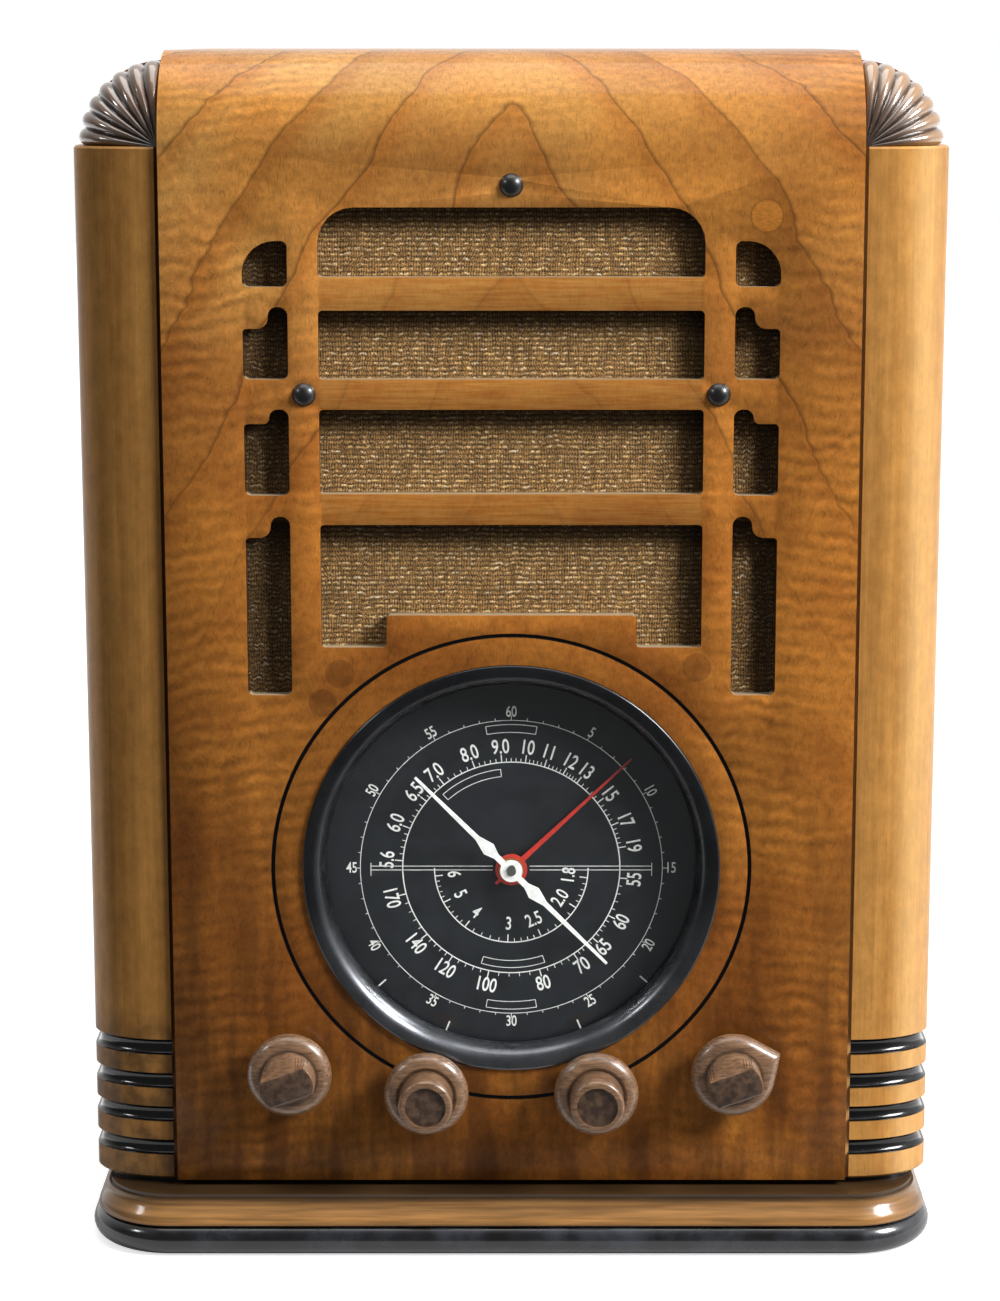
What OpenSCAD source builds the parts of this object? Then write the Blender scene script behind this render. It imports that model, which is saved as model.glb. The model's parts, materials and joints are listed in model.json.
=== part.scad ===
// Tombstone table radio: wooden cabinet with a bent front, a round dial, four knobs and an open back.
// Millimetres, +Z up. The front faces -Y, and the origin lies on the floor under the object's middle.

/* [Cabinet] */
// Overall height
cab_h = 448; // [436:1:460]
// Width over the corner columns
body_w = 319; // [311:1:327]
// Depth from the front panel's face to the open back
body_d = 216; // [210:1:230]
// Width of the front panel
panel_w = 254; // [246:1:260]
// Thickness of the front panel
panel_t = 6; // [5:0.5:7]
// Outer radius of the bend from the front into the top
bend_r = 34; // [30:1:38]
// Thickness of the top board
top_t = 12; // [9:0.5:14]
// Thickness of the side panels
side_t = 10; // [8:0.5:14]
// How far the panel's face stands in front of the columns
panel_proud = 2; // [1:0.25:3]
// Width of the black strip between panel and column
strip_w = 1.5; // [1:0.25:4]
// How far the strip lies behind the column's front
strip_set = 1.5; // [0.5:0.25:2.5]
// Depth of the corner columns
column_d = 34; // [30:1:40]
// Depth over which a column's front rounds into its side
column_round = 19; // [15:1:24]

/* [Column grooves] */
// Number of grooves around each column
groove_count = 4; // [1:1:8]
// Height of a groove
groove_h = 6; // [3:0.5:8]
// Depth of a groove
groove_d = 2.2; // [1:0.1:3]
// Distance from groove to groove
groove_pitch = 13.2; // [10:0.2:18]
// Height of the lowest groove above the column's foot
groove_rise = 12.3; // [8:0.1:20]

/* [Fan caps] */
// Number of carved lobes on each cap
fan_lobes = 7; // [4:1:10]
// Depth of the valleys between the lobes
fan_valley = 1.9; // [0.5:0.1:3]
// How far the cap and the side panel lie inside the column's outer face
cap_inset = 2; // [1:0.25:4]

/* [Base] */
// Thickness of the black base board
base_t = 12; // [9:0.5:16]
// How far the base stands in front of the panel
base_front = 16; // [12:0.5:20]
// How far the base stands beside the columns
base_side = 1.5; // [0:0.25:6]
// Corner radius of the base, seen from above
base_corner = 32; // [26:1:40]
// Height of the brown plinth moulding
plinth_h = 10.8; // [8:0.2:14]
// Width of the plinth frame's rails
plinth_rail = 24; // [18:1:25]
// Height of the black neck under the cabinet
neck_h = 2.4; // [1.5:0.1:4]
// How far the neck lies inside the columns and the panel
neck_inset = 5; // [3:0.5:8]
// Thickness of the cabinet's floor
floor_t = 8; // [6:0.5:10]

/* [Grille] */
// Height of the speaker's centre above the bezel
speaker_z = 100; // [93:1:107]
// Width of the middle slots
slot_w = 140; // [130:1:148]
// Corner radius of the top slot's upper corners
slot_round = 13; // [4:0.5:14]
// Width of the raised step in the bottom slot
step_w = 92; // [70:1:110]
// Inner edge of the side windows
window_x = 81; // [79:0.5:84]
// Width of the side windows
window_w = 16.4; // [14:0.2:20]
// Width of the windows' upper fingers
finger_w = 7.2; // [6:0.2:9]
// Thickness of the grille cloth
cloth_t = 0.6; // [0.4:0.1:1]
// Thickness of the speaker baffle
baffle_t = 8; // [6:0.5:10]

/* [Speaker] */
// Radius of the basket's flange
speaker_r = 82; // [80:0.5:84]
// Radius of the circle that the bolts stand on
bolt_circle_r = 75.4; // [74:0.2:76]
// Diameter of the speaker bolts
bolt_d = 4.8; // [4:0.1:5.5]
// Radius of a bolt's domed head
bolt_head_r = 4.3; // [3.5:0.1:5]
// Depth of the basket behind its flange
basket_d = 46; // [40:1:52]
// Radius of the magnet pot
pot_r = 36; // [30:1:40]
// Length of the magnet pot
pot_d = 44; // [38:1:50]

/* [Dial] */
// Height of the dial's centre
dial_z = 144.2; // [143:0.2:149]
// How far the bezel's centre stands above the dial's
bezel_rise = 2.8; // [0:0.2:3.4]
// Outer radius of the bezel
bezel_r = 78; // [76:0.5:79]
// How far the bezel stands in front of the panel
bezel_proud = 1.5; // [1:0.1:2]
// Radius of the bezel's mouth at the glass
mouth_r = 69.5; // [69:0.5:72]
// Depth of the glass rim behind the panel's face
glass_y = 7.5; // [7:0.5:11]
// Thickness of the glass
glass_t = 2; // [1.5:0.1:2.4]
// Bulge of the glass
glass_bulge = 4; // [2:0.5:5]
// Depth of the dial plate behind the panel's face
dial_y = 14; // [13.6:0.1:17]
// Radius of the black ring let into the panel
inlay_r = 89; // [86:0.5:92]
// Width of that ring
inlay_w = 1.4; // [0.8:0.1:2]
// Length of each arm of the white pointer
pointer_l = 51; // [46:0.5:56]
// Length of the red second hand
second_l = 62; // [56:0.5:64]
// Rest angle of the white pointer above the right-hand horizontal
pointer_angle = 135; // [95:1:175]
// Rest angle of the red second hand
second_angle = 43.5; // [0:0.5:90]

/* [Knobs and controls] */
// Distance of the outer knobs from the middle
outer_knob_x = 83.4; // [80:0.2:90]
// Height of the outer knobs
outer_knob_z = 69.5; // [66:0.5:74]
// Distance of the inner knobs from the middle
inner_knob_x = 32; // [28:0.5:36]
// Height of the inner knobs
inner_knob_z = 62; // [58:0.5:64]
// Radius of a knob's ring
knob_r = 15.9; // [14:0.1:17]
// Thickness of a knob's ring
knob_ring_t = 8.6; // [7:0.1:10]
// Radius of a knob's cap
knob_cap_r = 10.2; // [8:0.1:11]
// Length of a knob
knob_l = 21; // [18:0.5:26]
// Gap between the knobs and the panel
knob_gap = 3.2; // [2.6:0.1:5]
// Angle of the bar grips
grip_angle = 20; // [0:1:45]
// Diameter of the control shafts
shaft_d = 6.35; // [6:0.05:7]
// Diameter of the controls' threaded bushings
bushing_d = 9.4; // [9:0.1:11]
// Diameter of the panel's holes for the shafts
shaft_hole_d = 10; // [9:0.5:13]

/* [Dial works] */
// Depth of the dial housing's back behind the panel's face
housing_back = 34; // [33:0.5:35]
// Teeth of the second hand's pinion
sleeve_teeth = 12; // [12:12:12]
// Teeth of the idler wheel
wheel_teeth = 36; // [36:12:36]
// Teeth of the idler pinion
pinion_teeth = 12; // [12:12:12]
// Teeth of the main gear
main_teeth = 48; // [48:12:48]
// Distance between the dial's centre and the idler's stud
gear_centres = 24; // [23:0.5:25]
// Diameter of the condenser's shaft
axle_d = 6; // [5:0.1:6.2]
// Radius of the belt on the condenser's drum
drum_r = 40; // [38:1:42]
// Thickness of the drive belt
belt_t = 1; // [0.8:0.1:1.2]
// Width of the drive belt
belt_w = 2; // [1.5:0.1:3]

/* [Chassis] */
// Width of the chassis
chassis_w = 240; // [234:1:250]
// Depth of the chassis
chassis_d = 148; // [146:1:156]
// Height of the chassis
chassis_h = 58; // [56:1:60]
// Sheet thickness of the chassis
sheet_t = 1.2; // [0.8:0.1:1.6]
// Depth of the chassis's front behind the panel's face
chassis_y = 48; // [47:0.5:50]
// Height of the rubber cushions under the chassis
cushion_h = 3; // [2:0.5:5]
// Radius of a condenser plate
plate_r = 22; // [19:0.5:23]
// Number of rotor plates in each gang
plate_count = 6; // [3:1:6]
// Distance from rotor plate to rotor plate
plate_pitch = 4; // [3.6:0.1:4.2]
// Radius of a glass tube
tube_r = 19; // [16:0.5:20]
// Height of a glass tube above its base
tube_h = 82; // [70:1:90]
// Diameter of the hole for the mains lead
lead_d = 6.8; // [5:0.1:7.5]

/* [Clearances] */
// Radial clearance of a shaft turning in a bore
run_fit = 0.05; // [0.02:0.01:0.1]
// Gap around fasteners and pieces that are slid in
slip_fit = 0.2; // [0.1:0.05:0.4]
// Gap between the belt and its pulleys
belt_gap = 0.3; // [0.2:0.05:0.5]

/* [Hidden] */
$fn = 72;
EPS = 0.01;

knob_front = knob_gap + knob_l;
face_y = (knob_front - body_d) / 2;
neck_z = base_t + plinth_h;
body_z = neck_z + neck_h;
col_top = cab_h - bend_r;
col_in = panel_w / 2 + strip_w;
col_out = body_w / 2;
fan_r = col_out - cap_inset - panel_w / 2;
side_x = panel_w / 2 + fan_r;
floor_top = body_z + floor_t;
bezel_z = dial_z + bezel_rise;

// The grille and its speaker fill the room between the bezel and the bend
GRILLE_ROOM = 189;
grille_k = (col_top - bezel_z - bezel_r) / GRILLE_ROOM;
speaker_at = bezel_z + bezel_r + speaker_z * grille_k;
flange_r = speaker_r * grille_k;
bolt_ring_r = bolt_circle_r * grille_k;

// Grille openings, as heights from the speaker's centre in a room of GRILLE_ROOM
function level(height) = speaker_at + height * grille_k;
SLOT_1 = [42.5, 67.5];
SLOT_2 = [5.5, 30.5];
SLOT_3 = [-36.5, -5.5];
SLOT_4 = [-93.5, -47.8];
STEP_RISE = 12;
WINDOW_1 = [39, 55.5];
FINGERED = [[5.5, 23.9, 31.8], [-37, -10.7, -5.4], [-111.5, -52.6, -44.8]];
SLOT_R = 1.6;
WINDOW_R = 2.4;
BIG_R = 12;
TIP_R = 3.3;
SHOULDER_R = 4;
TIP_SHARE = 0.6;
grille_low = level(FINGERED[2][0]);
grille_high = level(SLOT_1[1]);
CLOTH_EDGE = 8;
BAFFLE_EDGE = 15;
CONE_EDGE = 11;
baffle_y = panel_t + cloth_t;
speaker_y = baffle_y + baffle_t;
flange_t = 1.5;
BOLT_ANGLES = [0, 90, 180];
bolt_hole_r = bolt_d / 2 + slip_fit;
HEAD_H = 2.6;
NUT_H = 3;
cone_r = bolt_ring_r - CONE_EDGE;
pot_y = speaker_y + flange_t + basket_d;

// Dial stack, front to back
BEZEL_LIP = 2;
dial_hole_r = bezel_r - BEZEL_LIP;
bezel_wall_r = dial_hole_r - slip_fit;
bezel_back = dial_y - 2;
pocket_r = bezel_wall_r - 1.2;
housing_in_r = bezel_wall_r + 0.8;
housing_r = housing_in_r + 1.6;
plate_disc_r = housing_in_r - slip_fit;
dial_t = 1;
HOUSING_T = 1.2;
RIM_GAP = 0.3;
LEDGE_W = 2.2;
axle_r = axle_d / 2;
sleeve_r = axle_r + 1.6;
pointer_y = dial_y - 5;
second_y = dial_y - 2.8;
NEEDLE_T = 0.8;
train_y = dial_y + dial_t + 2;
WHEEL_T = 3;
TRAIN_GAP = 1.3;
main_y = train_y + WHEEL_T + TRAIN_GAP;
main_gear_t = 3;
STUD_R = 2;
IDLER_AT = 120;
BUSH_R = 7;
LAMP_AT = [40, 44];
LAMP_R = 5.2;
SOCKET_R = 8;
drum_y = housing_back + 2.8;
drum_t = 6;
drum_ratio = 10;
pulley_r = drum_r / drum_ratio;
belt_y = drum_y + (drum_t - belt_w) / 2;

// Gear sizes from the common centre distance
sleeve_module = 2 * gear_centres / (sleeve_teeth + wheel_teeth);
main_module = 2 * gear_centres / (pinion_teeth + main_teeth);
PRESSURE = 25;
ADDENDUM = 0.8;
DEDENDUM = 1.06;
BACKLASH = 0.16;

// Chassis and what stands on it
chassis_z = floor_top + cushion_h;
deck_z = chassis_z + chassis_h;
chassis_back = chassis_y + chassis_d;
FOOT_W = 14;
foot_x = chassis_w / 2 - sheet_t - FOOT_W / 2;
FOOT_SET = 22;
RAIL_CLEAR = 18;
foot_y = [chassis_y + FOOT_SET, min(chassis_back - FOOT_SET, body_d - plinth_rail - RAIL_CLEAR)];
CUSHION_R = 6;
SHELF_BOLT_R = 2;
shaft_r = shaft_d / 2;
bushing_r = bushing_d / 2;
bushing_front = chassis_y - 5;
CONTROL_R = 14;
CONTROL_D = 12;
control_y = chassis_y + sheet_t;
shaft_end = control_y + 3;
bore_depth = 14;
CONTROLS = [[-outer_knob_x, outer_knob_z], [-inner_knob_x, inner_knob_z],
            [inner_knob_x, inner_knob_z], [outer_knob_x, outer_knob_z]];

// Tuning condenser
GANG_GAP = 5;
PLATE_T = 0.8;
FRAME_T = 1.5;
HUB_R = 5;
gang_l = (plate_count - 1) * plate_pitch;
frame_y = chassis_y + 12;
gang_y = [frame_y + FRAME_T + 4, frame_y + FRAME_T + 4 + gang_l + 2 * GANG_GAP];
frame_back = gang_y[1] + gang_l + 4 + FRAME_T;
divider_y = gang_y[0] + gang_l + GANG_GAP;
ROD_R = 1.5;
rod_x = plate_r - 1;
rod_drop = plate_r;
stator_w = 2 * (rod_x + 3);
stator_drop = rod_drop + 4;
frame_w = stator_w + 8;
frame_low = dial_z - stator_drop - 6;
frame_high = dial_z + 12;
mount_r = 7;
MOUNT_SET = 10;
rotor_angle = pointer_angle + 90;

// Places on the deck: [x, depth behind the chassis's front]
SHIELDED = [[54, 36], [98, 36], [98, 82]];
BARE = [[10, 120], [54, 124]];
IF_CANS = [[54, 80], [98, 124]];
FILTERS = [[-62, 34], [-100, 34]];
TRANSFORMER = [-82, 102];
CAN_W = 34;
CAN_H = 82;
FILTER_R = 16;
SOCKET_T = 3;
SOCKET_HOLE_R = 13;
TUBE_BASE_R = 15.5;
TUBE_BASE_H = 24;
shield_in = tube_r + 0.8;
SHIELD_T = 0.8;
lead_x = -54;
lead_r = lead_d / 2;
LEAD_SEAT = 2.4;
lead_z = chassis_z + 16;
TERMINAL_X = 40;

// Helpers

// Points along an arc about c
function arc(c, r, a0, a1, n) = [for (i = [0:n]) let (a = a0 + (a1 - a0) * i / n) c + r * [cos(a), sin(a)]];

function unit(v) = v / norm(v);

// The smaller turn from angle a to angle b
function turn(a, b) = ((b - a) % 360 + 540) % 360 - 180;

// Corner b of an outline rounded with radius r
function corner(a, b, c, r, n) =
    let (u = unit(a - b),
         v = unit(c - b),
         half = acos(u * v) / 2,
         mid = b + unit(u + v) * r / sin(half),
         p = b + u * r / tan(half) - mid,
         q = b + v * r / tan(half) - mid,
         start = atan2(p[1], p[0]))
    arc(mid, r, start, start + turn(start, atan2(q[1], q[0])), n);

// Outline with a radius at each corner; points are [x, y, radius]
function rounded(points, n = 6) =
    let (k = len(points))
    [for (i = [0:k - 1])
        let (p = points[i], a = points[(i + k - 1) % k], c = points[(i + 1) % k])
        each p[2] > 0 ? corner([a[0], a[1]], [p[0], p[1]], [c[0], c[1]], p[2], n) : [[p[0], p[1]]]];

// Outline around two circles, as a belt lies
function belt_line(c1, r1, c2, r2) =
    let (d = c2 - c1,
         a = atan2(d[1], d[0]),
         b = acos((r1 - r2) / norm(d)))
    concat(arc(c1, r1, a + b, a + 360 - b, 48), arc(c2, r2, a - b, a + b, 12));

// Involute gear outline with a tooth centred on the given angle
function involute(a) = tan(a) * 180 / PI - a;
function gear_line(module_mm, teeth, tooth_at) =
    let (pitch_r = module_mm * teeth / 2,
         base_r = pitch_r * cos(PRESSURE),
         root_r = pitch_r - DEDENDUM * module_mm,
         tip_r = pitch_r + ADDENDUM * module_mm,
         low_r = max(base_r + EPS, root_r + EPS),
         half = 90 / teeth - BACKLASH * module_mm / 2 / pitch_r * 180 / PI + involute(PRESSURE),
         radii = [root_r, low_r, pitch_r, (pitch_r + tip_r) / 2, tip_r],
         widths = [for (r = radii) half - involute(acos(min(1, base_r / max(r, base_r))))])
    [for (k = [0:teeth - 1])
        let (mid = tooth_at + 360 * k / teeth)
        each concat(
            [for (i = [0:4]) radii[i] * [cos(mid - widths[i]), sin(mid - widths[i])]],
            [for (i = [4:-1:0]) radii[i] * [cos(mid + widths[i]), sin(mid + widths[i])]])];

// Everything is drawn with the panel's face at y = 0 and moved back to the object's middle
module placed() translate([0, face_y, 0]) children();

// A front-view outline made solid from depth y0 to y1
module slab(y0, y1) translate([0, y1, 0]) rotate([90, 0, 0]) linear_extrude(y1 - y0) children();

// A depth-height outline made solid from x0 to x1
module across(x0, x1) translate([x0, 0, 0]) rotate([90, 0, 90]) linear_extrude(x1 - x0) children();

// A radius-depth outline turned about the depth axis through (x, z)
module turned(x, z) translate([x, 0, z]) rotate([-90, 0, 0]) rotate_extrude() children();

// A radius-height outline turned about the upright axis through (x, y)
module upright(x, y) translate([x, y, 0]) rotate_extrude() children();

module rod(x, z, r, y0, y1) translate([x, y0, z]) rotate([-90, 0, 0]) cylinder(r = r, h = y1 - y0);

module post(x, y, r, z0, z1) translate([x, y, z0]) cylinder(r = r, h = z1 - z0);

module box(x0, x1, y0, y1, z0, z1) translate([x0, y0, z0]) cube([x1 - x0, y1 - y0, z1 - z0]);

module both_sides() {
    children();
    mirror([1, 0, 0]) children();
}

// A closed body through a stack of rings with equal point counts
module loft(rings) {
    n = len(rings[0]);
    m = len(rings);
    polyhedron(
        points = [for (ring = rings) each ring],
        faces = concat(
            [[for (i = [0:n - 1]) i]],
            [for (k = [0:m - 2]) for (i = [0:n - 1])
                let (j = (i + 1) % n) each [[k * n + i, (k + 1) * n + i, (k + 1) * n + j],
                                            [k * n + i, (k + 1) * n + j, k * n + j]]],
            [[for (i = [n - 1:-1:0]) (m - 1) * n + i]]));
}

// Base

corner_x = body_w / 2 + base_side - base_corner;
corner_y = base_corner - base_front;

// A moulding profile, drawn outward from the corner's centre line, led round the front and both sides
module around_base() {
    both_sides() {
        translate([corner_x, corner_y, 0]) rotate([0, 0, -90]) rotate_extrude(angle = 90) children();
        translate([corner_x, body_d, 0]) rotate([90, 0, 0]) linear_extrude(body_d - corner_y) children();
    }
    translate([corner_x, corner_y, 0]) rotate([90, 0, -90]) linear_extrude(2 * corner_x) children();
}

module bullnose_profile() {
    square([base_corner - base_t / 2, base_t]);
    translate([base_corner - base_t / 2, base_t / 2]) circle(base_t / 2);
}

module base_board() color("#1b1512") placed() {
    around_base() bullnose_profile();
    box(-corner_x, corner_x, corner_y, body_d, 0, base_t);
}

// Small bead at the top, cove below it and a swelling foot
OGEE_SET = 7;
OGEE_FOOT = 2;
BEAD_H = 1.6;
function ogee(t) = OGEE_FOOT + (OGEE_SET - OGEE_FOOT - 1) * (t - sin(360 * t) / 360 * 50);
module plinth_profile() {
    rise = plinth_h - BEAD_H;
    polygon(concat(
        [[base_corner - plinth_rail, base_t]],
        [for (i = [0:10]) [base_corner - ogee(i / 10), base_t + rise * i / 10]],
        [[base_corner - OGEE_SET, base_t + rise]],
        [[base_corner - OGEE_SET, base_t + plinth_h]],
        [[base_corner - plinth_rail, base_t + plinth_h]]));
}

module plinth_moulding() color("#6e4424") placed() {
    around_base() plinth_profile();
    inner = corner_x + base_corner - plinth_rail;
    box(-inner, inner, body_d - plinth_rail, body_d, base_t, neck_z);
}

// Cabinet

module cabinet_floor() color("#2a1d15") placed() difference() {
    union() {
        edge = body_w / 2 - neck_inset;
        front = panel_proud + neck_inset;
        translate([0, 0, neck_z]) linear_extrude(neck_h)
            polygon(rounded([[-edge, body_d, 0], [-edge, front, 14], [edge, front, 14], [edge, body_d, 0]]));
        inner = side_x - side_t;
        translate([0, 0, body_z - EPS]) linear_extrude(floor_t + EPS)
            polygon([[-inner, body_d], [-inner, column_d], [-panel_w / 2, column_d], [-panel_w / 2, panel_t],
                     [panel_w / 2, panel_t], [panel_w / 2, column_d], [inner, column_d], [inner, body_d]]);
    }
    both_sides() for (y = foot_y) post(foot_x, y, SHELF_BOLT_R + slip_fit, neck_z - 1, floor_top + 1);
}

module slot(range, top_r) {
    z0 = level(range[0]);
    z1 = level(range[1]);
    polygon(rounded([[-slot_w / 2, z0, SLOT_R], [slot_w / 2, z0, SLOT_R],
                     [slot_w / 2, z1, top_r], [-slot_w / 2, z1, top_r]]));
}

module stepped_slot(range) {
    z0 = level(range[0]);
    z1 = level(range[1]);
    zs = z0 + STEP_RISE * grille_k;
    polygon(rounded([[-slot_w / 2, z0, SLOT_R], [-step_w / 2, z0, SLOT_R], [-step_w / 2, zs, SLOT_R],
                     [step_w / 2, zs, SLOT_R], [step_w / 2, z0, SLOT_R], [slot_w / 2, z0, SLOT_R],
                     [slot_w / 2, z1, SLOT_R], [-slot_w / 2, z1, SLOT_R]]));
}

module top_window() {
    z0 = level(WINDOW_1[0]);
    z1 = level(WINDOW_1[1]);
    x1 = window_x + window_w;
    polygon(rounded([[window_x, z0, WINDOW_R], [x1, z0, WINDOW_R], [x1, z1, BIG_R * grille_k],
                     [window_x, z1, WINDOW_R]], 8));
}

// Side window with a narrower, round-tipped finger that runs down into its shoulder
module fingered_window(heights) {
    z0 = level(heights[0]);
    zs = level(heights[1]);
    z1 = level(heights[2]);
    x1 = window_x + window_w;
    xf = window_x + finger_w;
    tip_r = min(TIP_R, TIP_SHARE * (z1 - zs));
    shoulder_r = min(SHOULDER_R, z1 - zs - tip_r - EPS);
    polygon(rounded([[window_x, z0, WINDOW_R], [x1, z0, WINDOW_R], [x1, zs, SLOT_R],
                     [xf, zs, shoulder_r], [xf, z1, tip_r], [window_x, z1, tip_r]]));
}

module fretwork() {
    slot(SLOT_1, slot_round * grille_k);
    slot(SLOT_2, SLOT_R);
    slot(SLOT_3, SLOT_R);
    stepped_slot(SLOT_4);
    both_sides() {
        top_window();
        for (heights = FINGERED) fingered_window(heights);
    }
}

INLAY_D = 0.7;
module front_panel() color("#a5672f") placed() difference() {
    across(-panel_w / 2, panel_w / 2) {
        translate([0, body_z]) square([panel_t, col_top - body_z]);
        intersection() {
            translate([bend_r, col_top]) difference() {
                circle(bend_r);
                circle(bend_r - panel_t);
            }
            translate([0, col_top]) square(bend_r);
        }
    }
    slab(-1, panel_t + 1) fretwork();
    rod(0, bezel_z, dial_hole_r, -1, panel_t + 1);
    difference() {
        rod(0, bezel_z, inlay_r + inlay_w / 2, -1, INLAY_D);
        rod(0, bezel_z, inlay_r - inlay_w / 2, -2, INLAY_D + 1);
    }
    for (p = CONTROLS) rod(p[0], p[1], shaft_hole_d / 2, -1, panel_t + 1);
    speaker_bolt_holes(-1, panel_t + 1);
}

module speaker_bolt_holes(y0, y1)
    for (a = BOLT_ANGLES)
        rod(bolt_ring_r * cos(a), speaker_at + bolt_ring_r * sin(a), bolt_hole_r, y0, y1);

module top_panel() color("#96602f") placed()
    box(-panel_w / 2, panel_w / 2, bend_r, body_d, cab_h - top_t, cab_h);

module side() slab(column_d, body_d) {
    translate([side_x - side_t, body_z]) square([side_t, col_top - body_z]);
    intersection() {
        translate([panel_w / 2, col_top]) difference() {
            circle(fan_r);
            circle(fan_r - side_t);
        }
        translate([panel_w / 2, col_top]) square(fan_r);
    }
}

module side_right() color("#8a5529") placed() side();
module side_left() color("#8a5529") placed() mirror([1, 0, 0]) side();

// Plan of a column, drawn in by the given amount
COLUMN_STEPS = 18;
function column_ring(z, inset) = concat(
    [for (i = [0:COLUMN_STEPS]) let (a = 90 * i / COLUMN_STEPS)
        [col_in + (col_out - col_in - inset) * sin(a),
         panel_proud + column_round - (column_round - inset) * cos(a), z]],
    [[col_out - inset, column_d, z], [col_in, column_d, z]]);

ARRIS = 0.8;
GROOVE_STEPS = 8;
function groove_levels(z) = [for (i = [0:GROOVE_STEPS]) let (a = 180 * i / GROOVE_STEPS - 90)
    [z + groove_h / 2 * sin(a), groove_d * cos(a)]];

module column() loft([for (level = concat(
    [[body_z, ARRIS], [body_z + ARRIS, 0]],
    [for (k = [0:groove_count - 1]) each groove_levels(body_z + groove_rise + k * groove_pitch)],
    [[col_top - ARRIS, 0], [col_top, ARRIS]])) column_ring(level[0], level[1])]);

module column_right() color("#7a4a26") placed() column();
module column_left() color("#7a4a26") placed() mirror([1, 0, 0]) column();

// Fan cap: a quarter dome about a depth axis at the panel's edge, with rounded lobes running from its pole
LOBE_STEPS = 6;
DOME_STEPS = 9;
FAN_LIFT = 1;
function lobe(u) = pow(abs(2 * u - 1), 2.4);
function fan_ring(t, y_back) =
    let (dome = column_round - cap_inset,
         pole_y = panel_proud + FAN_LIFT,
         r = fan_r * sin(t),
         out = unit([sin(t) / fan_r, cos(t) / dome]),
         fade = t < 90 / DOME_STEPS ? 0 : min(1, sin(t) * 1.6),
         steps = fan_lobes * LOBE_STEPS)
    concat(
        [for (j = [0:steps])
            let (f = 90 * j / steps,
                 cut = fan_valley * fade * lobe((j % LOBE_STEPS) / LOBE_STEPS),
                 rr = r - cut * out[0],
                 y = is_undef(y_back) ? pole_y + dome * (1 - cos(t)) + cut * out[1] : y_back)
            [panel_w / 2 + rr * cos(f), y, col_top + rr * sin(f)]],
        [[panel_w / 2, is_undef(y_back) ? pole_y + dome * (1 - cos(t)) : y_back, col_top]]);

module fan() loft(concat(
    [fan_ring(4)],
    [for (i = [1:DOME_STEPS]) fan_ring(90 * i / DOME_STEPS)],
    [fan_ring(90, column_d)]));

module fan_right() color("#5d3519") placed() fan();
module fan_left() color("#5d3519") placed() mirror([1, 0, 0]) fan();

STRIP_BACK = 6;
module edge_strips() color("#15100d") placed() both_sides()
    box(panel_w / 2, col_in, panel_proud + strip_set, panel_t + STRIP_BACK, body_z, col_top);

// Speaker

module cloth_line(edge) difference() {
    x1 = window_x + window_w + edge;
    z0 = grille_low - edge;
    z1 = grille_high + edge;
    polygon([[-x1, z0], [x1, z0], [x1, z1], [-x1, z1]]);
    translate([0, dial_z]) circle(housing_r + 2);
}

module grille_cloth() color("#7d6a45") placed() difference() {
    slab(panel_t, baffle_y) cloth_line(CLOTH_EDGE);
    speaker_bolt_holes(panel_t - 1, baffle_y + 1);
}

module speaker_baffle() color("#4a3a28") placed() difference() {
    slab(baffle_y, speaker_y) cloth_line(BAFFLE_EDGE);
    rod(0, speaker_at, cone_r, baffle_y - 1, speaker_y + 1);
    speaker_bolt_holes(baffle_y - 1, speaker_y + 1);
}

GASKET_T = 1.5;
COIL_HOLE_R = 13;
BASKET_HOLE_R = 13;
basket_y = speaker_y + GASKET_T;

module speaker_bolts() color("#191614") placed()
    for (a = BOLT_ANGLES) {
        x = bolt_ring_r * cos(a);
        z = speaker_at + bolt_ring_r * sin(a);
        cap = (bolt_head_r * bolt_head_r + HEAD_H * HEAD_H) / 2 / HEAD_H;
        half = asin(bolt_head_r / cap);
        turned(x, z) polygon(concat(
            [[0, basket_y + flange_t + NUT_H + 2], [0, -HEAD_H]],
            [for (i = [1:8]) [cap * sin(half * i / 8), cap - HEAD_H - cap * cos(half * i / 8)]],
            [[bolt_d / 2, 0], [bolt_d / 2, basket_y + flange_t + NUT_H + 2]]));
        difference() {
            translate([x, basket_y + flange_t, z]) rotate([-90, 0, 0])
                cylinder(r = bolt_d * 0.95, h = NUT_H, $fn = 6);
            rod(x, z, bolt_d / 2 + slip_fit / 2, basket_y, basket_y + flange_t + NUT_H + 1);
        }
    }

module speaker_basket() color("#3a3a3c") placed() difference() {
    back = pot_y + GASKET_T;
    turned(0, speaker_at) polygon([
        [cone_r - 2, basket_y], [flange_r, basket_y], [flange_r, basket_y + flange_t],
        [cone_r + 2, basket_y + flange_t], [pot_r - 2, back - flange_t], [pot_r - 2, back],
        [COIL_HOLE_R, back], [COIL_HOLE_R, back - flange_t], [pot_r - 5, back - flange_t]]);
    speaker_bolt_holes(basket_y - 1, basket_y + flange_t + 1);
    for (a = [30:60:330])
        translate([0, basket_y + basket_d / 2, speaker_at]) rotate([0, a, 0]) translate([pot_r - 8, 0, 0])
            rotate([0, 90, 0]) cylinder(r = BASKET_HOLE_R, h = cone_r);
}

module speaker_cone() color("#2e2a26") placed() turned(0, speaker_at) polygon([
    [cone_r - 2, speaker_y], [flange_r - 12, speaker_y], [flange_r - 12, basket_y], [cone_r - 3, basket_y],
    [13.5, basket_y + basket_d - 8], [12.5, basket_y + basket_d - 3], [11.7, basket_y + basket_d - 3],
    [12.6, basket_y + basket_d - 9], [0, basket_y + basket_d - 13], [0, basket_y + basket_d - 13.8],
    [13.2, basket_y + basket_d - 9.6], [cone_r - 4, basket_y - 0.6]]);

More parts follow.
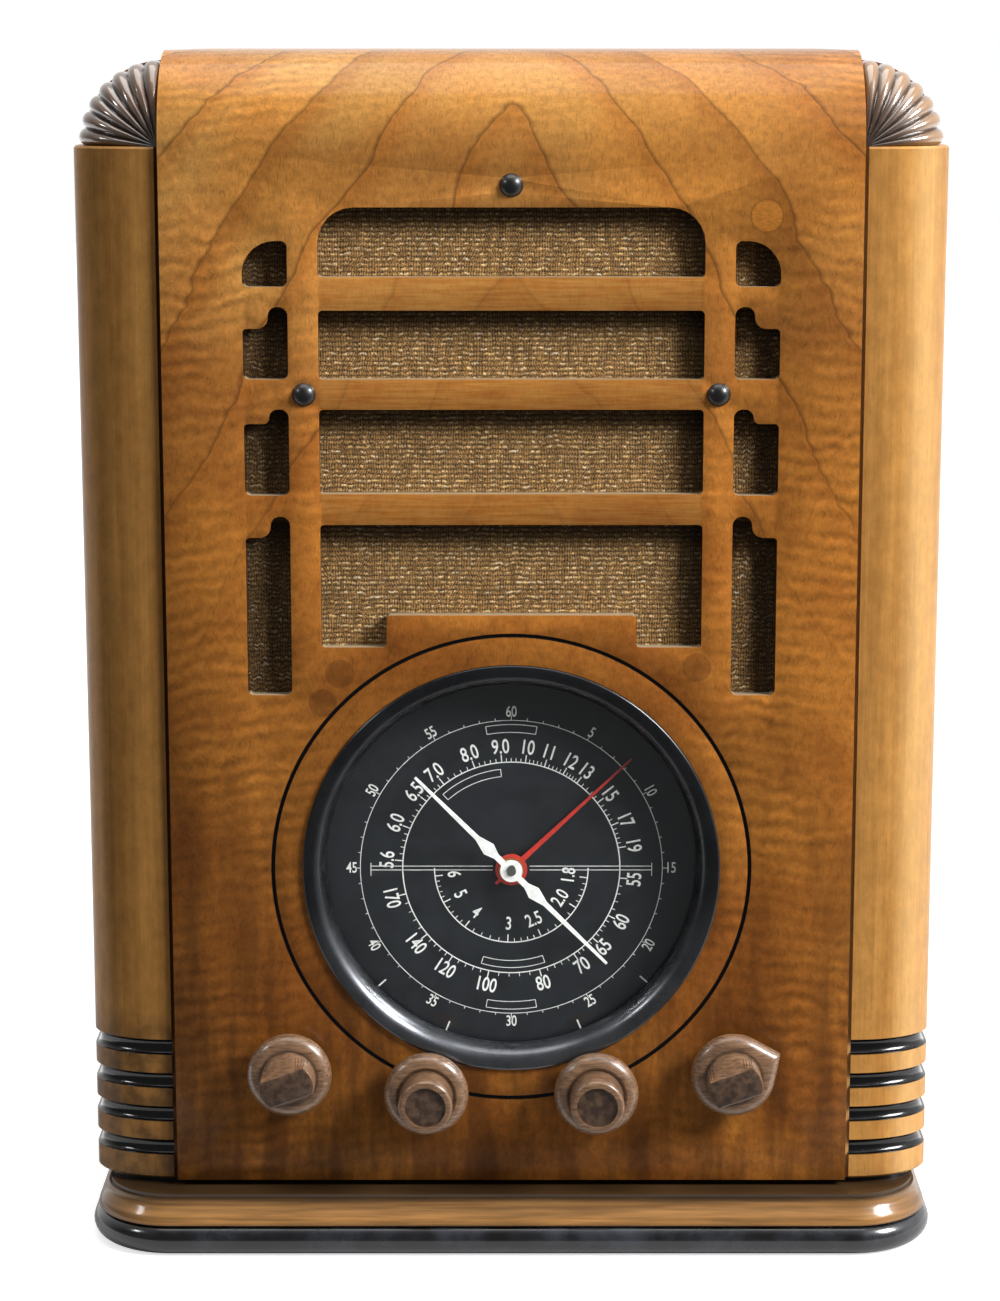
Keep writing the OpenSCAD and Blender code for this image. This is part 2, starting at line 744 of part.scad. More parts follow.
module speaker_magnet() color("#4b4d50") placed() {
    y0 = pot_y + GASKET_T;
    turned(0, speaker_at) polygon([[0, y0], [pot_r + 2, y0], [pot_r + 2, y0 + 4], [pot_r, y0 + 4],
                                  [pot_r, y0 + pot_d - 3], [pot_r - 3, y0 + pot_d], [0, y0 + pot_d]]);
}

OUTPUT_SIZE = [46, 32, 40];
module output_transformer() color("#2f3133") placed() {
    y0 = pot_y + GASKET_T + 6;
    top = speaker_at + pot_r;
    difference() {
        union() {
            box(-OUTPUT_SIZE[0] / 2, OUTPUT_SIZE[0] / 2, y0 + 6, y0 + 6 + OUTPUT_SIZE[1] - 12,
                top - 7, top + OUTPUT_SIZE[2]);
            box(-OUTPUT_SIZE[0] / 2 + 8, OUTPUT_SIZE[0] / 2 - 8, y0, y0 + OUTPUT_SIZE[1], top + 5,
                top + OUTPUT_SIZE[2] - 8);
        }
        rod(0, speaker_at, pot_r, y0 - 1, y0 + OUTPUT_SIZE[1] + 1);
    }
}

// Dial

// Ring with a thin lip and a rounded slope that runs in to the glass
BEZEL_STEPS = 7;
LIP_ROUND = 1;
MOUTH_EDGE = 0.6;
slope_y = glass_y - MOUTH_EDGE;
module dial_bezel() color("#3c3f42") placed() turned(0, bezel_z) polygon(concat(
    [[bezel_r, 0]],
    arc([bezel_r - LIP_ROUND, LIP_ROUND - bezel_proud], LIP_ROUND, 0, -90, 4),
    [for (i = [0:BEZEL_STEPS]) let (a = 90 * i / BEZEL_STEPS)
        [dial_hole_r - (dial_hole_r - mouth_r) * sin(a), slope_y - (slope_y + bezel_proud) * cos(a)]],
    [[mouth_r, glass_y], [pocket_r, glass_y], [pocket_r, bezel_back],
     [bezel_wall_r, bezel_back], [bezel_wall_r, 0]]));

GLASS_STEPS = 10;
function glass_line(y) = [for (i = [0:GLASS_STEPS]) let (r = (mouth_r - 1) * i / GLASS_STEPS)
    [r, y - glass_bulge * (1 - pow(r / (mouth_r - 1), 2))]];
module dial_glass() color([0.8, 0.85, 0.85, 0.3]) placed() turned(0, bezel_z) polygon(concat(
    glass_line(glass_y),
    [[pocket_r - slip_fit, glass_y], [pocket_r - slip_fit, glass_y + glass_t]],
    [for (i = [GLASS_STEPS:-1:0]) glass_line(glass_y + glass_t)[i]]));

module dial_plate() color("#121212") placed() turned(0, dial_z)
    translate([sleeve_r + 0.6, dial_y]) square([plate_disc_r - sleeve_r - 0.6, dial_t]);

stud_x = gear_centres * cos(IDLER_AT);
stud_z = gear_centres * sin(IDLER_AT);
module dial_housing() color("#8d8f90") placed() difference() {
    union() {
        turned(0, dial_z) polygon([
            [housing_in_r, bezel_back + RIM_GAP], [housing_r, bezel_back + RIM_GAP],
            [housing_r, housing_back],
            [BUSH_R, housing_back], [BUSH_R, housing_back + 1.4], [axle_r + run_fit, housing_back + 1.4],
            [axle_r + run_fit, housing_back - 5], [BUSH_R, housing_back - 5],
            [BUSH_R, housing_back - HOUSING_T], [housing_in_r - LEDGE_W, housing_back - HOUSING_T],
            [housing_in_r - LEDGE_W, dial_y + dial_t], [housing_in_r, dial_y + dial_t]]);
        rod(stud_x, dial_z + stud_z, STUD_R, train_y - 0.5, housing_back - EPS);
    }
    both_sides() rod(LAMP_AT[0], dial_z + LAMP_AT[1], LAMP_R + 1, housing_back - 3, housing_back + 1);
}

POST_AT = [52, -27];
POST_R = 4;
EAR_HALF = 9;
TAB_D = 10;
TIE_H = 8;
bracket_y = chassis_y + 4;
module dial_bracket() color("#9a9c9d") placed() {
    both_sides() {
        x0 = POST_AT[0] - EAR_HALF;
        x1 = POST_AT[0] + EAR_HALF;
        post_z = dial_z + POST_AT[1];
        rod(POST_AT[0], post_z, POST_R, housing_back, bracket_y + EPS);
        box(x0, x1, bracket_y, bracket_y + FRAME_T, deck_z, post_z + EAR_HALF);
        box(x0, x1, bracket_y, bracket_y + TAB_D, deck_z, deck_z + FRAME_T);
    }
    box(-POST_AT[0], POST_AT[0], bracket_y, bracket_y + FRAME_T, deck_z, deck_z + TIE_H);
}

module pilot_lamps() color("#d8cfa0") placed() both_sides()
    turned(LAMP_AT[0], dial_z + LAMP_AT[1]) polygon(concat(
        arc([0, housing_back - 9], LAMP_R - 0.6, -90, 0, 6),
        [[LAMP_R - 0.6, housing_back - 3], [LAMP_R, housing_back - 3], [LAMP_R, housing_back],
         [SOCKET_R, housing_back], [SOCKET_R, housing_back + 1.5], [LAMP_R + 1, housing_back + 1.5],
         [LAMP_R + 1, housing_back + 9], [0, housing_back + 9]]));

// Pointers on the front of the shaft: a plain double-ended needle with lozenge swells, and a tapered hand
module main_pointer() color("#f2efe6") placed() difference() {
    slab(pointer_y, pointer_y + NEEDLE_T) translate([0, dial_z]) rotate(pointer_angle) {
        circle(axle_r + 1.2);
        for (side = [0, 180]) rotate(side)
            polygon([[1, -1.1], [8, -1.1], [12, -2.6], [18, -0.9], [pointer_l, -0.45],
                     [pointer_l, 0.45], [18, 0.9], [12, 2.6], [8, 1.1], [1, 1.1]]);
    }
    rod(0, dial_z, axle_r - 1.2, pointer_y - 1, pointer_y + NEEDLE_T + 1);
}

TAIL_L = 8;
module second_hand() color("#c23a28") placed() difference() {
    slab(second_y, second_y + NEEDLE_T) translate([0, dial_z]) rotate(second_angle) {
        circle(sleeve_r + 1.4);
        polygon([[-TAIL_L, -0.5], [sleeve_r, -1], [second_l, -0.25],
                 [second_l, 0.25], [sleeve_r, 1], [-TAIL_L, 0.5]]);
    }
    rod(0, dial_z, sleeve_r, second_y - 1, second_y + NEEDLE_T + 1);
}

module gear(x, z, y0, y1, module_mm, teeth, tooth_at)
    slab(y0, y1) translate([x, dial_z + z]) polygon(gear_line(module_mm, teeth, tooth_at));

module second_sleeve() color("#b08d4a") placed() difference() {
    union() {
        rod(0, dial_z, sleeve_r, second_y - 0.4, train_y + WHEEL_T);
        gear(0, 0, train_y, train_y + WHEEL_T, sleeve_module, sleeve_teeth, IDLER_AT);
    }
    rod(0, dial_z, axle_r + run_fit, second_y - 2, train_y + WHEEL_T + 1);
}

module idler_gear() color("#b9974f") placed() difference() {
    union() {
        gear(stud_x, stud_z, train_y, train_y + WHEEL_T, sleeve_module, wheel_teeth,
             IDLER_AT + 180 + 180 / wheel_teeth);
        gear(stud_x, stud_z, train_y + WHEEL_T - EPS, main_y + main_gear_t + 0.5, main_module, pinion_teeth,
             IDLER_AT + 180 + 180 / pinion_teeth);
    }
    rod(stud_x, dial_z + stud_z, STUD_R + run_fit, train_y - 1, main_y + main_gear_t + 2);
}

module main_gear() color("#c3a257") placed() difference() {
    gear(0, 0, main_y, main_y + main_gear_t, main_module, main_teeth, IDLER_AT);
    rod(0, dial_z, axle_r, main_y - 1, main_y + main_gear_t + 1);
}

// Tuning condenser and its drive

module condenser_shaft() color("#c9c9c6") placed() {
    rod(0, dial_z, axle_r, pointer_y + NEEDLE_T, frame_back + 3);
    rod(0, dial_z, axle_r - 1.2, pointer_y - 0.5, pointer_y + NEEDLE_T + EPS);
}

module drive_drum() color("#b7b3a6") placed() difference() {
    groove_r = drum_r - belt_t / 2 - belt_gap;
    lip = groove_r + belt_t + 1.6;
    side_w = (drum_t - belt_w) / 2 - belt_gap;
    turned(0, dial_z) polygon([
        [axle_r, drum_y], [lip, drum_y], [lip, drum_y + side_w], [groove_r, drum_y + side_w],
        [groove_r, drum_y + drum_t - side_w], [lip, drum_y + drum_t - side_w], [lip, drum_y + drum_t],
        [axle_r, drum_y + drum_t]]);
    for (a = [0:60:300])
        rod((drum_r - 15) * cos(a), dial_z + (drum_r - 15) * sin(a), 7, drum_y - 1, drum_y + drum_t + 1);
}

drum_at = [0, dial_z];
pulley_at = [inner_knob_x, inner_knob_z];
module drive_belt() color("#2a2622") placed() slab(belt_y, belt_y + belt_w) difference() {
    polygon(belt_line(drum_at, drum_r + belt_t / 2, pulley_at, pulley_r + belt_t / 2));
    polygon(belt_line(drum_at, drum_r - belt_t / 2, pulley_at, pulley_r - belt_t / 2));
}

END_TAPER = 6;
DIVIDER_TOP = 10;
DIVIDER_IN = 4;
HUB_CLEAR = 1.5;
module condenser_frame() color("#a8aaab") placed() difference() {
    union() {
        box(-frame_w / 2, frame_w / 2, frame_y, frame_back, frame_low, frame_low + FRAME_T);
        for (y = [frame_y, frame_back - FRAME_T])
            slab(y, y + FRAME_T) polygon(rounded([
                [-frame_w / 2, frame_low, 0], [frame_w / 2, frame_low, 0],
                [frame_w / 2 - END_TAPER, frame_high, END_TAPER],
                [-frame_w / 2 + END_TAPER, frame_high, END_TAPER]]));
        slab(divider_y - FRAME_T / 2, divider_y + FRAME_T / 2) polygon(rounded([
            [-rod_x + DIVIDER_IN, frame_low, 0], [rod_x - DIVIDER_IN, frame_low, 0],
            [DIVIDER_TOP, frame_high, DIVIDER_IN], [-DIVIDER_TOP, frame_high, DIVIDER_IN]]));
    }
    rod(0, dial_z, axle_r + run_fit, frame_y - 1, frame_y + FRAME_T + 1);
    rod(0, dial_z, axle_r + run_fit, frame_back - FRAME_T - 1, frame_back + 1);
    rod(0, dial_z, HUB_R + HUB_CLEAR, divider_y - FRAME_T, divider_y + FRAME_T);
}

module stator_plates() color("#c8cacb") placed() {
    both_sides() rod(rod_x, dial_z - rod_drop, ROD_R, frame_y + FRAME_T, frame_back - FRAME_T);
    for (y0 = gang_y) for (k = [0:plate_count - 2]) {
        y = y0 + (k + 0.5) * plate_pitch - PLATE_T / 2;
        slab(y, y + PLATE_T) translate([0, dial_z]) difference() {
            translate([-stator_w / 2, -stator_drop]) square([stator_w, stator_drop - 1]);
            circle(HUB_R + HUB_CLEAR);
        }
    }
}

module rotor_plates() color("#d6d7d5") placed() difference() {
    union() {
        rod(0, dial_z, HUB_R, frame_y + FRAME_T + 1, frame_back - FRAME_T - 1);
        for (y0 = gang_y) for (k = [0:plate_count - 1]) {
            y = y0 + k * plate_pitch - PLATE_T / 2;
            slab(y, y + PLATE_T) translate([0, dial_z]) rotate(rotor_angle - 90) intersection() {
                circle(plate_r);
                translate([-plate_r, 0]) square([2 * plate_r, plate_r]);
            }
        }
    }
    rod(0, dial_z, axle_r, frame_y, frame_back);
}

// Chassis

module chassis_pan() color("#8c8e8f") placed() difference() {
    x1 = chassis_w / 2;
    inside = x1 - sheet_t;
    y0 = chassis_y + sheet_t;
    y1 = chassis_back - sheet_t;
    union() {
        difference() {
            box(-x1, x1, chassis_y, chassis_back, chassis_z, deck_z);
            box(-inside, inside, y0, y1, chassis_z - 1, deck_z - sheet_t);
        }
        both_sides() box(inside - FOOT_W, inside, y0, y1, chassis_z, chassis_z + sheet_t);
    }
    for (p = CONTROLS) rod(p[0], p[1], bushing_r + slip_fit, chassis_y - 1, chassis_y + sheet_t + 1);
    for (p = concat(SHIELDED, BARE)) post(p[0], chassis_y + p[1], SOCKET_HOLE_R, deck_z - 5, deck_z + 1);
    both_sides() for (y = foot_y)
        post(foot_x, y, SHELF_BOLT_R + slip_fit, chassis_z - 1, chassis_z + sheet_t + 1);
    seat_r = lead_r + LEAD_SEAT;
    rod(lead_x, lead_z, seat_r, y1 - 1, chassis_back + 1);
    box(lead_x - seat_r, lead_x + seat_r, y1 - 1, chassis_back + 1, chassis_z - 1, lead_z);
}

// Cushions under the chassis feet and under the tuning condenser
module rubber_mounts() color("#22201e") placed() {
    both_sides() for (y = foot_y) difference() {
        post(foot_x, y, CUSHION_R, floor_top, chassis_z);
        post(foot_x, y, SHELF_BOLT_R + slip_fit, floor_top - 1, chassis_z + 1);
    }
    both_sides() for (y = [frame_y + MOUNT_SET, frame_back - MOUNT_SET])
        post(frame_w / 2 - MOUNT_SET, y, mount_r, deck_z, frame_low);
}

module chassis_bolts() color("#b3b5b5") placed() both_sides() for (y = foot_y) {
    top = chassis_z + sheet_t;
    upright(foot_x, y) polygon([[0, neck_z - 2.5], [4, neck_z - 2.5], [4.6, neck_z], [SHELF_BOLT_R, neck_z],
                                [SHELF_BOLT_R, top + 6], [0, top + 6]]);
    difference() {
        translate([foot_x, y, top]) cylinder(r = 4.2, h = 3, $fn = 6);
        post(foot_x, y, SHELF_BOLT_R + slip_fit / 2, top - 1, top + 4);
    }
}

// Stack of laminations between two clamps, with a rounded cover on top
CORE_W = 72;
CORE_D = 84;
CLAMP_H = 9;
CLAMP_LIP = 3;
STACK_H = 20;
COVER_IN = 6;
COVER_H = 28;
COVER_R = 9;
CROWN_IN = 10;
CROWN_H = 6;
CROWN_R = 8;
cover_z = 2 * CLAMP_H + STACK_H;
module core_layer(z, h, inset, r) {
    w = CORE_W / 2 - inset;
    d = CORE_D / 2 - inset;
    translate([TRANSFORMER[0], chassis_y + TRANSFORMER[1], deck_z + z]) linear_extrude(h)
        polygon(rounded([[-w, -d, r], [w, -d, r], [w, d, r], [-w, d, r]]));
}
module power_transformer() color("#2c2d2f") placed() {
    core_layer(0, CLAMP_H, 0, 0);
    core_layer(CLAMP_H, STACK_H, CLAMP_LIP, 0);
    core_layer(CLAMP_H + STACK_H, CLAMP_H, 0, 0);
    core_layer(cover_z, COVER_H, COVER_IN, COVER_R);
    core_layer(cover_z + COVER_H, CROWN_H, CROWN_IN, CROWN_R);
}

module tube_sockets() color("#5c3a22") placed() for (p = concat(SHIELDED, BARE))
    upright(p[0], chassis_y + p[1]) translate([4, deck_z]) square([TUBE_BASE_R - 3, SOCKET_T]);

base_low = deck_z + SOCKET_T;
bulb_low = base_low + TUBE_BASE_H;
module tube_bases() color("#1d1a19") placed() for (p = concat(SHIELDED, BARE))
    upright(p[0], chassis_y + p[1]) polygon([
        [0, base_low - SOCKET_T], [3.6, base_low - SOCKET_T], [3.6, base_low], [TUBE_BASE_R, base_low],
        [TUBE_BASE_R, bulb_low - 6], [TUBE_BASE_R - 1.5, bulb_low - 4], [TUBE_BASE_R - 1.5, bulb_low],
        [0, bulb_low]]);

// Shouldered bulb with a smaller dome on top
module glass_tubes() color([0.55, 0.58, 0.58, 0.5]) placed() for (p = concat(SHIELDED, BARE)) {
    shoulder = bulb_low + tube_h * 0.55;
    top = bulb_low + tube_h;
    dome_r = tube_r * 0.6;
    upright(p[0], chassis_y + p[1]) polygon(concat(
        [[0, bulb_low], [TUBE_BASE_R - 3, bulb_low]],
        [for (i = [0:8]) let (t = i / 8)
            [TUBE_BASE_R - 3 + (tube_r - TUBE_BASE_R + 3) * sin(90 * t), bulb_low + 2 + (tube_h * 0.38) * t]],
        [for (i = [1:8]) let (t = i / 8)
            [tube_r - (tube_r - dome_r) * (1 - cos(180 * t)) / 2,
             bulb_low + 2 + tube_h * 0.38 + (shoulder - bulb_low - tube_h * 0.2) * t * 0.62]],
        arc([0, top - dome_r], dome_r, 0, 90, 8)));
}

module tube_shields() color("#a7a9aa") placed() for (p = SHIELDED)
    upright(p[0], chassis_y + p[1]) translate([shield_in, deck_z]) polygon([
        [0, 0], [SHIELD_T + 1, 0], [SHIELD_T + 1, SHIELD_T], [SHIELD_T, SHIELD_T],
        [SHIELD_T, TUBE_BASE_H + SOCKET_T + tube_h * 0.78], [0, TUBE_BASE_H + SOCKET_T + tube_h * 0.78]]);

module chassis_cans() color("#b9bbbb") placed() {
    for (p = IF_CANS) translate([p[0], chassis_y + p[1], deck_z]) {
        w = CAN_W / 2;
        linear_extrude(CAN_H) polygon(rounded([[-w, -w, 4], [w, -w, 4], [w, w, 4], [-w, w, 4]]));
    }
    for (p = FILTERS) upright(p[0], chassis_y + p[1]) polygon([
        [0, deck_z], [FILTER_R + 2, deck_z], [FILTER_R + 2, deck_z + 3], [FILTER_R, deck_z + 3],
        [FILTER_R, deck_z + 72], [FILTER_R - 2, deck_z + 74], [0, deck_z + 74]]);
}

// Controls: round case behind the chassis's front, threaded bushing through it
module control(x, z) difference() {
    union() {
        rod(x, z, CONTROL_R, control_y, control_y + CONTROL_D);
        rod(x, z, bushing_r, bushing_front, control_y + EPS);
    }
    rod(x, z, shaft_r + run_fit, bushing_front - 1, shaft_end + 0.5);
}

module tone_control() color("#7b6a4d") placed() control(CONTROLS[0][0], CONTROLS[0][1]);

SWITCH_R = 11;
module volume_control() color("#7b6a4d") placed() {
    control(CONTROLS[1][0], CONTROLS[1][1]);
    rod(CONTROLS[1][0], CONTROLS[1][1], SWITCH_R, control_y + CONTROL_D - EPS, control_y + CONTROL_D + 9);
}

// Two switch wafers on posts behind the indexing plate
WAFER_LIP = 3;
WAFER_T = 2;
WAFER_GAP = 8;
WAFER_PITCH = 14;
WAFER_POST_X = 11;
WAFER_POST_R = 1.6;
module band_switch() color("#8a6f45") placed() {
    x = CONTROLS[3][0];
    z = CONTROLS[3][1];
    case_back = control_y + CONTROL_D;
    control(x, z);
    for (k = [0, 1]) {
        wafer_y = case_back + WAFER_GAP + WAFER_PITCH * k;
        rod(x, z, CONTROL_R + WAFER_LIP, wafer_y, wafer_y + WAFER_T);
    }
    for (s = [-1, 1])
        rod(x + s * WAFER_POST_X, z, WAFER_POST_R, case_back - EPS,
            case_back + WAFER_GAP + WAFER_PITCH + 2 * WAFER_T);
}

module tuning_bushing() color("#b5924c") placed() {
    x = CONTROLS[2][0];
    z = CONTROLS[2][1];
    difference() {
        union() {
            rod(x, z, bushing_r + 3, control_y, control_y + 3);
            rod(x, z, bushing_r, bushing_front + 1.2, control_y + 12);
        }
        rod(x, z, shaft_r + run_fit, bushing_front - 1, control_y + 13);
    }
}

NUT_R = 8;
module control_nuts() color("#a9a59a") placed() for (p = CONTROLS) difference() {
    translate([p[0], chassis_y - 2.5, p[1]]) rotate([-90, 0, 0]) cylinder(r = NUT_R, h = 2.5, $fn = 6);
    rod(p[0], p[1], bushing_r + slip_fit / 2, chassis_y - 4, chassis_y + 1);
}

// Grooved grommet in the notch of the chassis's back
module cord_grommet() color("#1e1c1b") placed() turned(lead_x, lead_z) polygon([
    [lead_r, chassis_back - sheet_t - 3], [lead_r + LEAD_SEAT + 2, chassis_back - sheet_t - 3],
    [lead_r + LEAD_SEAT + 2, chassis_back - sheet_t], [lead_r + LEAD_SEAT, chassis_back - sheet_t],
    [lead_r + LEAD_SEAT, chassis_back], [lead_r + LEAD_SEAT + 2, chassis_back],
    [lead_r + LEAD_SEAT + 2, chassis_back + 3], [lead_r, chassis_back + 3]]);

module terminal_strip() color("#4a2f1d") placed() {
    z = deck_z - 26;
    box(TERMINAL_X - 26, TERMINAL_X + 26, chassis_back, chassis_back + 3, z - 8, z + 8);
    for (s = [-1, 1]) {
        rod(TERMINAL_X + s * 12, z, 4.5, chassis_back + 3 - EPS, chassis_back + 6);
        rod(TERMINAL_X + s * 12, z, 2.4, chassis_back + 6 - EPS, chassis_back + 9);
    }
}

// Knobs and shafts

shaft_tip = -knob_gap - bore_depth;
module control_shaft(p) rod(p[0], p[1], shaft_r, shaft_tip + slip_fit, shaft_end);

module tone_shaft() color("#c4c4c0") placed() control_shaft(CONTROLS[0]);
module volume_shaft() color("#c4c4c0") placed() control_shaft(CONTROLS[1]);
module band_shaft() color("#c4c4c0") placed() control_shaft(CONTROLS[3]);

// The tuning shaft carries two flanges, and the belt runs on it between them
module tuning_shaft() color("#c4c4c0") placed() {
    p = CONTROLS[2];
    lip = pulley_r + belt_t / 2 + 1.4;
    side_w = (drum_t - belt_w) / 2 - belt_gap;
    seat_r = pulley_r - belt_t / 2 - belt_gap;
    turned(p[0], p[1]) polygon([
        [0, shaft_tip + slip_fit], [shaft_r, shaft_tip + slip_fit], [shaft_r, drum_y], [lip, drum_y],
        [lip, drum_y + side_w], [seat_r, drum_y + side_w], [seat_r, drum_y + drum_t - side_w],
        [lip, drum_y + drum_t - side_w], [lip, drum_y + drum_t], [shaft_r, drum_y + drum_t],
        [shaft_r, control_y + 14], [0, control_y + 14]]);
}

// Ring with a rounded rim, a neck and a cap that swells a little towards its front
CAP_ROUND = 1.4;
ring_front = knob_gap + knob_ring_t;
rim_r = knob_ring_t / 2;
rim_line = arc([knob_r - rim_r, knob_gap + rim_r], rim_r, -90, 90, 12);
cap_line = concat(
    [[knob_cap_r, ring_front - 0.6], [knob_cap_r - 0.5, ring_front + 0.8],
     [knob_cap_r, knob_front - CAP_ROUND]],
    arc([knob_cap_r - CAP_ROUND, knob_front - CAP_ROUND], CAP_ROUND, 0, 90, 4));

module knob_turned(line) rotate([90, 0, 0]) rotate_extrude()
    polygon(concat([[0, line[0][1]]], line, [[0, line[len(line) - 1][1]]]));

module knob_bore() rod(0, 0, shaft_r + slip_fit / 4, -knob_gap - bore_depth, 1);

// Plain cap with a dished face inside a rim
DISH_R = 7.6;
DISH_D = 1;
module round_knob(p) translate([p[0], 0, p[1]]) difference() {
    knob_turned(concat(rim_line, cap_line));
    rod(0, 0, DISH_R, -knob_front - 1, -knob_front + DISH_D);
    knob_bore();
}

// Cap with two slanted flats that leave a bar to grip
GRIP_HALF = 5.2;
GRIP_STEPS = 48;
function grip_ring(r, half, forward) = [for (i = [0:GRIP_STEPS - 1]) let (a = 360 * i / GRIP_STEPS + 2)
    [r * cos(a), -forward, max(-half, min(half, r * sin(a)))]];
module grip_cap() rotate([0, -grip_angle, 0]) loft([
    grip_ring(knob_cap_r, knob_cap_r - 0.4, ring_front - 1),
    grip_ring(knob_cap_r, knob_cap_r - 0.6, ring_front + 0.4),
    grip_ring(knob_cap_r, GRIP_HALF + 0.3, knob_front - 1),
    grip_ring(knob_cap_r - 0.3, GRIP_HALF, knob_front - 0.3),
    grip_ring(knob_cap_r - 0.9, GRIP_HALF - 0.4, knob_front)]);

module tone_knob() color("#6a4022") placed() translate([CONTROLS[0][0], 0, CONTROLS[0][1]]) difference() {
    union() {
        knob_turned(rim_line);
        grip_cap();
    }
    knob_bore();
}

// The band knob's ring runs out into a pointed nib
NIB_L = 19.4;
NIB_R = 0.8;
NIB_DRAW = 1.23;
NIB_TURN = 5;
RIM_STEPS = 10;
module nib_ring() rotate([0, -grip_angle - NIB_TURN, 0]) loft([for (i = [0:RIM_STEPS])
    let (a = 180 * i / RIM_STEPS - 90,
         in = rim_r * (1 - cos(a)),
         line = belt_line([0, 0], knob_r - in, [NIB_L - NIB_R - NIB_DRAW * in, 0], NIB_R))
    [for (p = line) [p[0], -knob_gap - rim_r * (1 + sin(a)), p[1]]]]);

module band_knob() color("#6a4022") placed() translate([CONTROLS[3][0], 0, CONTROLS[3][1]]) difference() {
    union() {
        nib_ring();
        grip_cap();
    }
    knob_bore();
}

module volume_knob() color("#6a4022") placed() round_knob(CONTROLS[1]);
module tuning_knob() color("#6a4022") placed() round_knob(CONTROLS[2]);

base_board();
plinth_moulding();
cabinet_floor();
front_panel();
top_panel();
side_left();
side_right();
column_left();
column_right();
fan_left();
fan_right();
edge_strips();
speaker_baffle();
grille_cloth();
speaker_bolts();
speaker_basket();
speaker_cone();
speaker_magnet();
output_transformer();
dial_bezel();
dial_glass();
dial_plate();
dial_housing();
dial_bracket();
pilot_lamps();
chassis_pan();
rubber_mounts();
chassis_bolts();
power_transformer();
tube_sockets();
tube_bases();
glass_tubes();
tube_shields();
chassis_cans();
condenser_frame();
stator_plates();
tone_control();
volume_control();
band_switch();
tuning_bushing();
control_nuts();
cord_grommet();
terminal_strip();
drive_belt();
tone_knob();
tone_shaft();
volume_knob();
volume_shaft();
tuning_knob();
tuning_shaft();
band_knob();
band_shaft();
condenser_shaft();
rotor_plates();
drive_drum();
main_gear();
main_pointer();
second_hand();
second_sleeve();
idler_gear();
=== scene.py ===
"""Looks of the tombstone radio: finishes, woven grille cloth, printed dial and studio.

It is laid out as a Blender add-on and run as a script. Lengths are in metres unless a name says mm.
"""

import json
import math

import bmesh
import bpy
from bpy.props import FloatProperty, FloatVectorProperty, PointerProperty
from bpy.types import Operator, Panel, PropertyGroup
from mathutils import Matrix, Vector


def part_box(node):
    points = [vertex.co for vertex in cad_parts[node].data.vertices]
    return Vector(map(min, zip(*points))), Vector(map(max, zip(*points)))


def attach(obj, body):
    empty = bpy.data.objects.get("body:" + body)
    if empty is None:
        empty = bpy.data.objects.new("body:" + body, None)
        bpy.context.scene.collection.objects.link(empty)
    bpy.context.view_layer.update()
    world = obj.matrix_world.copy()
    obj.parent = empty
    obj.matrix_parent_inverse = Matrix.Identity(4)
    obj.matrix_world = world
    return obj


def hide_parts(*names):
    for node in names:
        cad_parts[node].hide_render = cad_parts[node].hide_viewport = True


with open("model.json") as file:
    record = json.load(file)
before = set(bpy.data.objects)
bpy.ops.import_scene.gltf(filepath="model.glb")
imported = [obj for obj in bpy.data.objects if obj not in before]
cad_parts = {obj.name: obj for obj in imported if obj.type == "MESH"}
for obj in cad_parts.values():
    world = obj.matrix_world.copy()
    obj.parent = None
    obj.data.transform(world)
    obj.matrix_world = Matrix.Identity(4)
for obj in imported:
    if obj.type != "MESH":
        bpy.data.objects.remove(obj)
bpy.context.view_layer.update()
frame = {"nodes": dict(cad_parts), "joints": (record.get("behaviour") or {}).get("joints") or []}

bl_info = {
    "name": "Tombstone Radio Looks",
    "version": (1, 0, 0),
    "blender": (4, 5, 0),
    "location": "View3D > Sidebar > Radio",
    "description": "Finishes, grille cloth, dial print and studio of a tombstone table radio",
    "category": "Object",
}

MM = 0.001

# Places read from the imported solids
PANEL_LOW, PANEL_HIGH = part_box("front_panel")
PLATE_LOW, PLATE_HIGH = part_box("dial_plate")
DIAL_Z = (PLATE_LOW.z + PLATE_HIGH.z) / 2
CLOTH_LOW, CLOTH_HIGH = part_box("grille_cloth")
HOUSING_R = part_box("dial_housing")[1].x
TUBE_FOOT, TUBE_CROWN = (corner.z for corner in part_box("glass_tubes"))
JOINT_PLACES = {joint["child"]: joint["pos_m"] for joint in frame["joints"]}

# More of them, in millimetres as materials use them
FACE_MM = PANEL_LOW.y / MM
PANEL_HALF_MM = PANEL_HIGH.x / MM
COLUMN_LOW_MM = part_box("column_right")[0].z / MM
COLUMN_TOP_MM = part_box("fan_right")[0].z / MM
PLINTH_LOW_MM, PLINTH_HIGH_MM = (corner.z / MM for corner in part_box("plinth_moulding"))
BEZEL_MM = sum(corner.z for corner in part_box("dial_bezel")) / 2 / MM
SPEAKER_MM = sum(corner.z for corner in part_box("speaker_basket")) / 2 / MM
KNOB_FRONT_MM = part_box("tone_knob")[0].y / MM


def linear(red, green, blue):
    """A display colour from 0 to 255 as the linear values that shaders take."""
    shares = [channel / 255 for channel in (red, green, blue)]
    return tuple(s / 12.92 if s <= 0.04045 else ((s + 0.055) / 1.055) ** 2.4 for s in shares)


def colour_property(name, description, red, green, blue):
    """A colour that the user can change, given as display values."""
    colour = linear(red, green, blue)
    return FloatVectorProperty(
        name=name, description=description, subtype="COLOR", size=3, min=0, max=1, default=colour
    )


def number_property(name, description, default, **settings):
    """A number that the user can change."""
    return FloatProperty(name=name, description=description, default=default, **settings)


def length_property(name, description, default):
    """A length that the user can change, in metres."""
    return number_property(name, description, default, subtype="DISTANCE", unit="LENGTH")


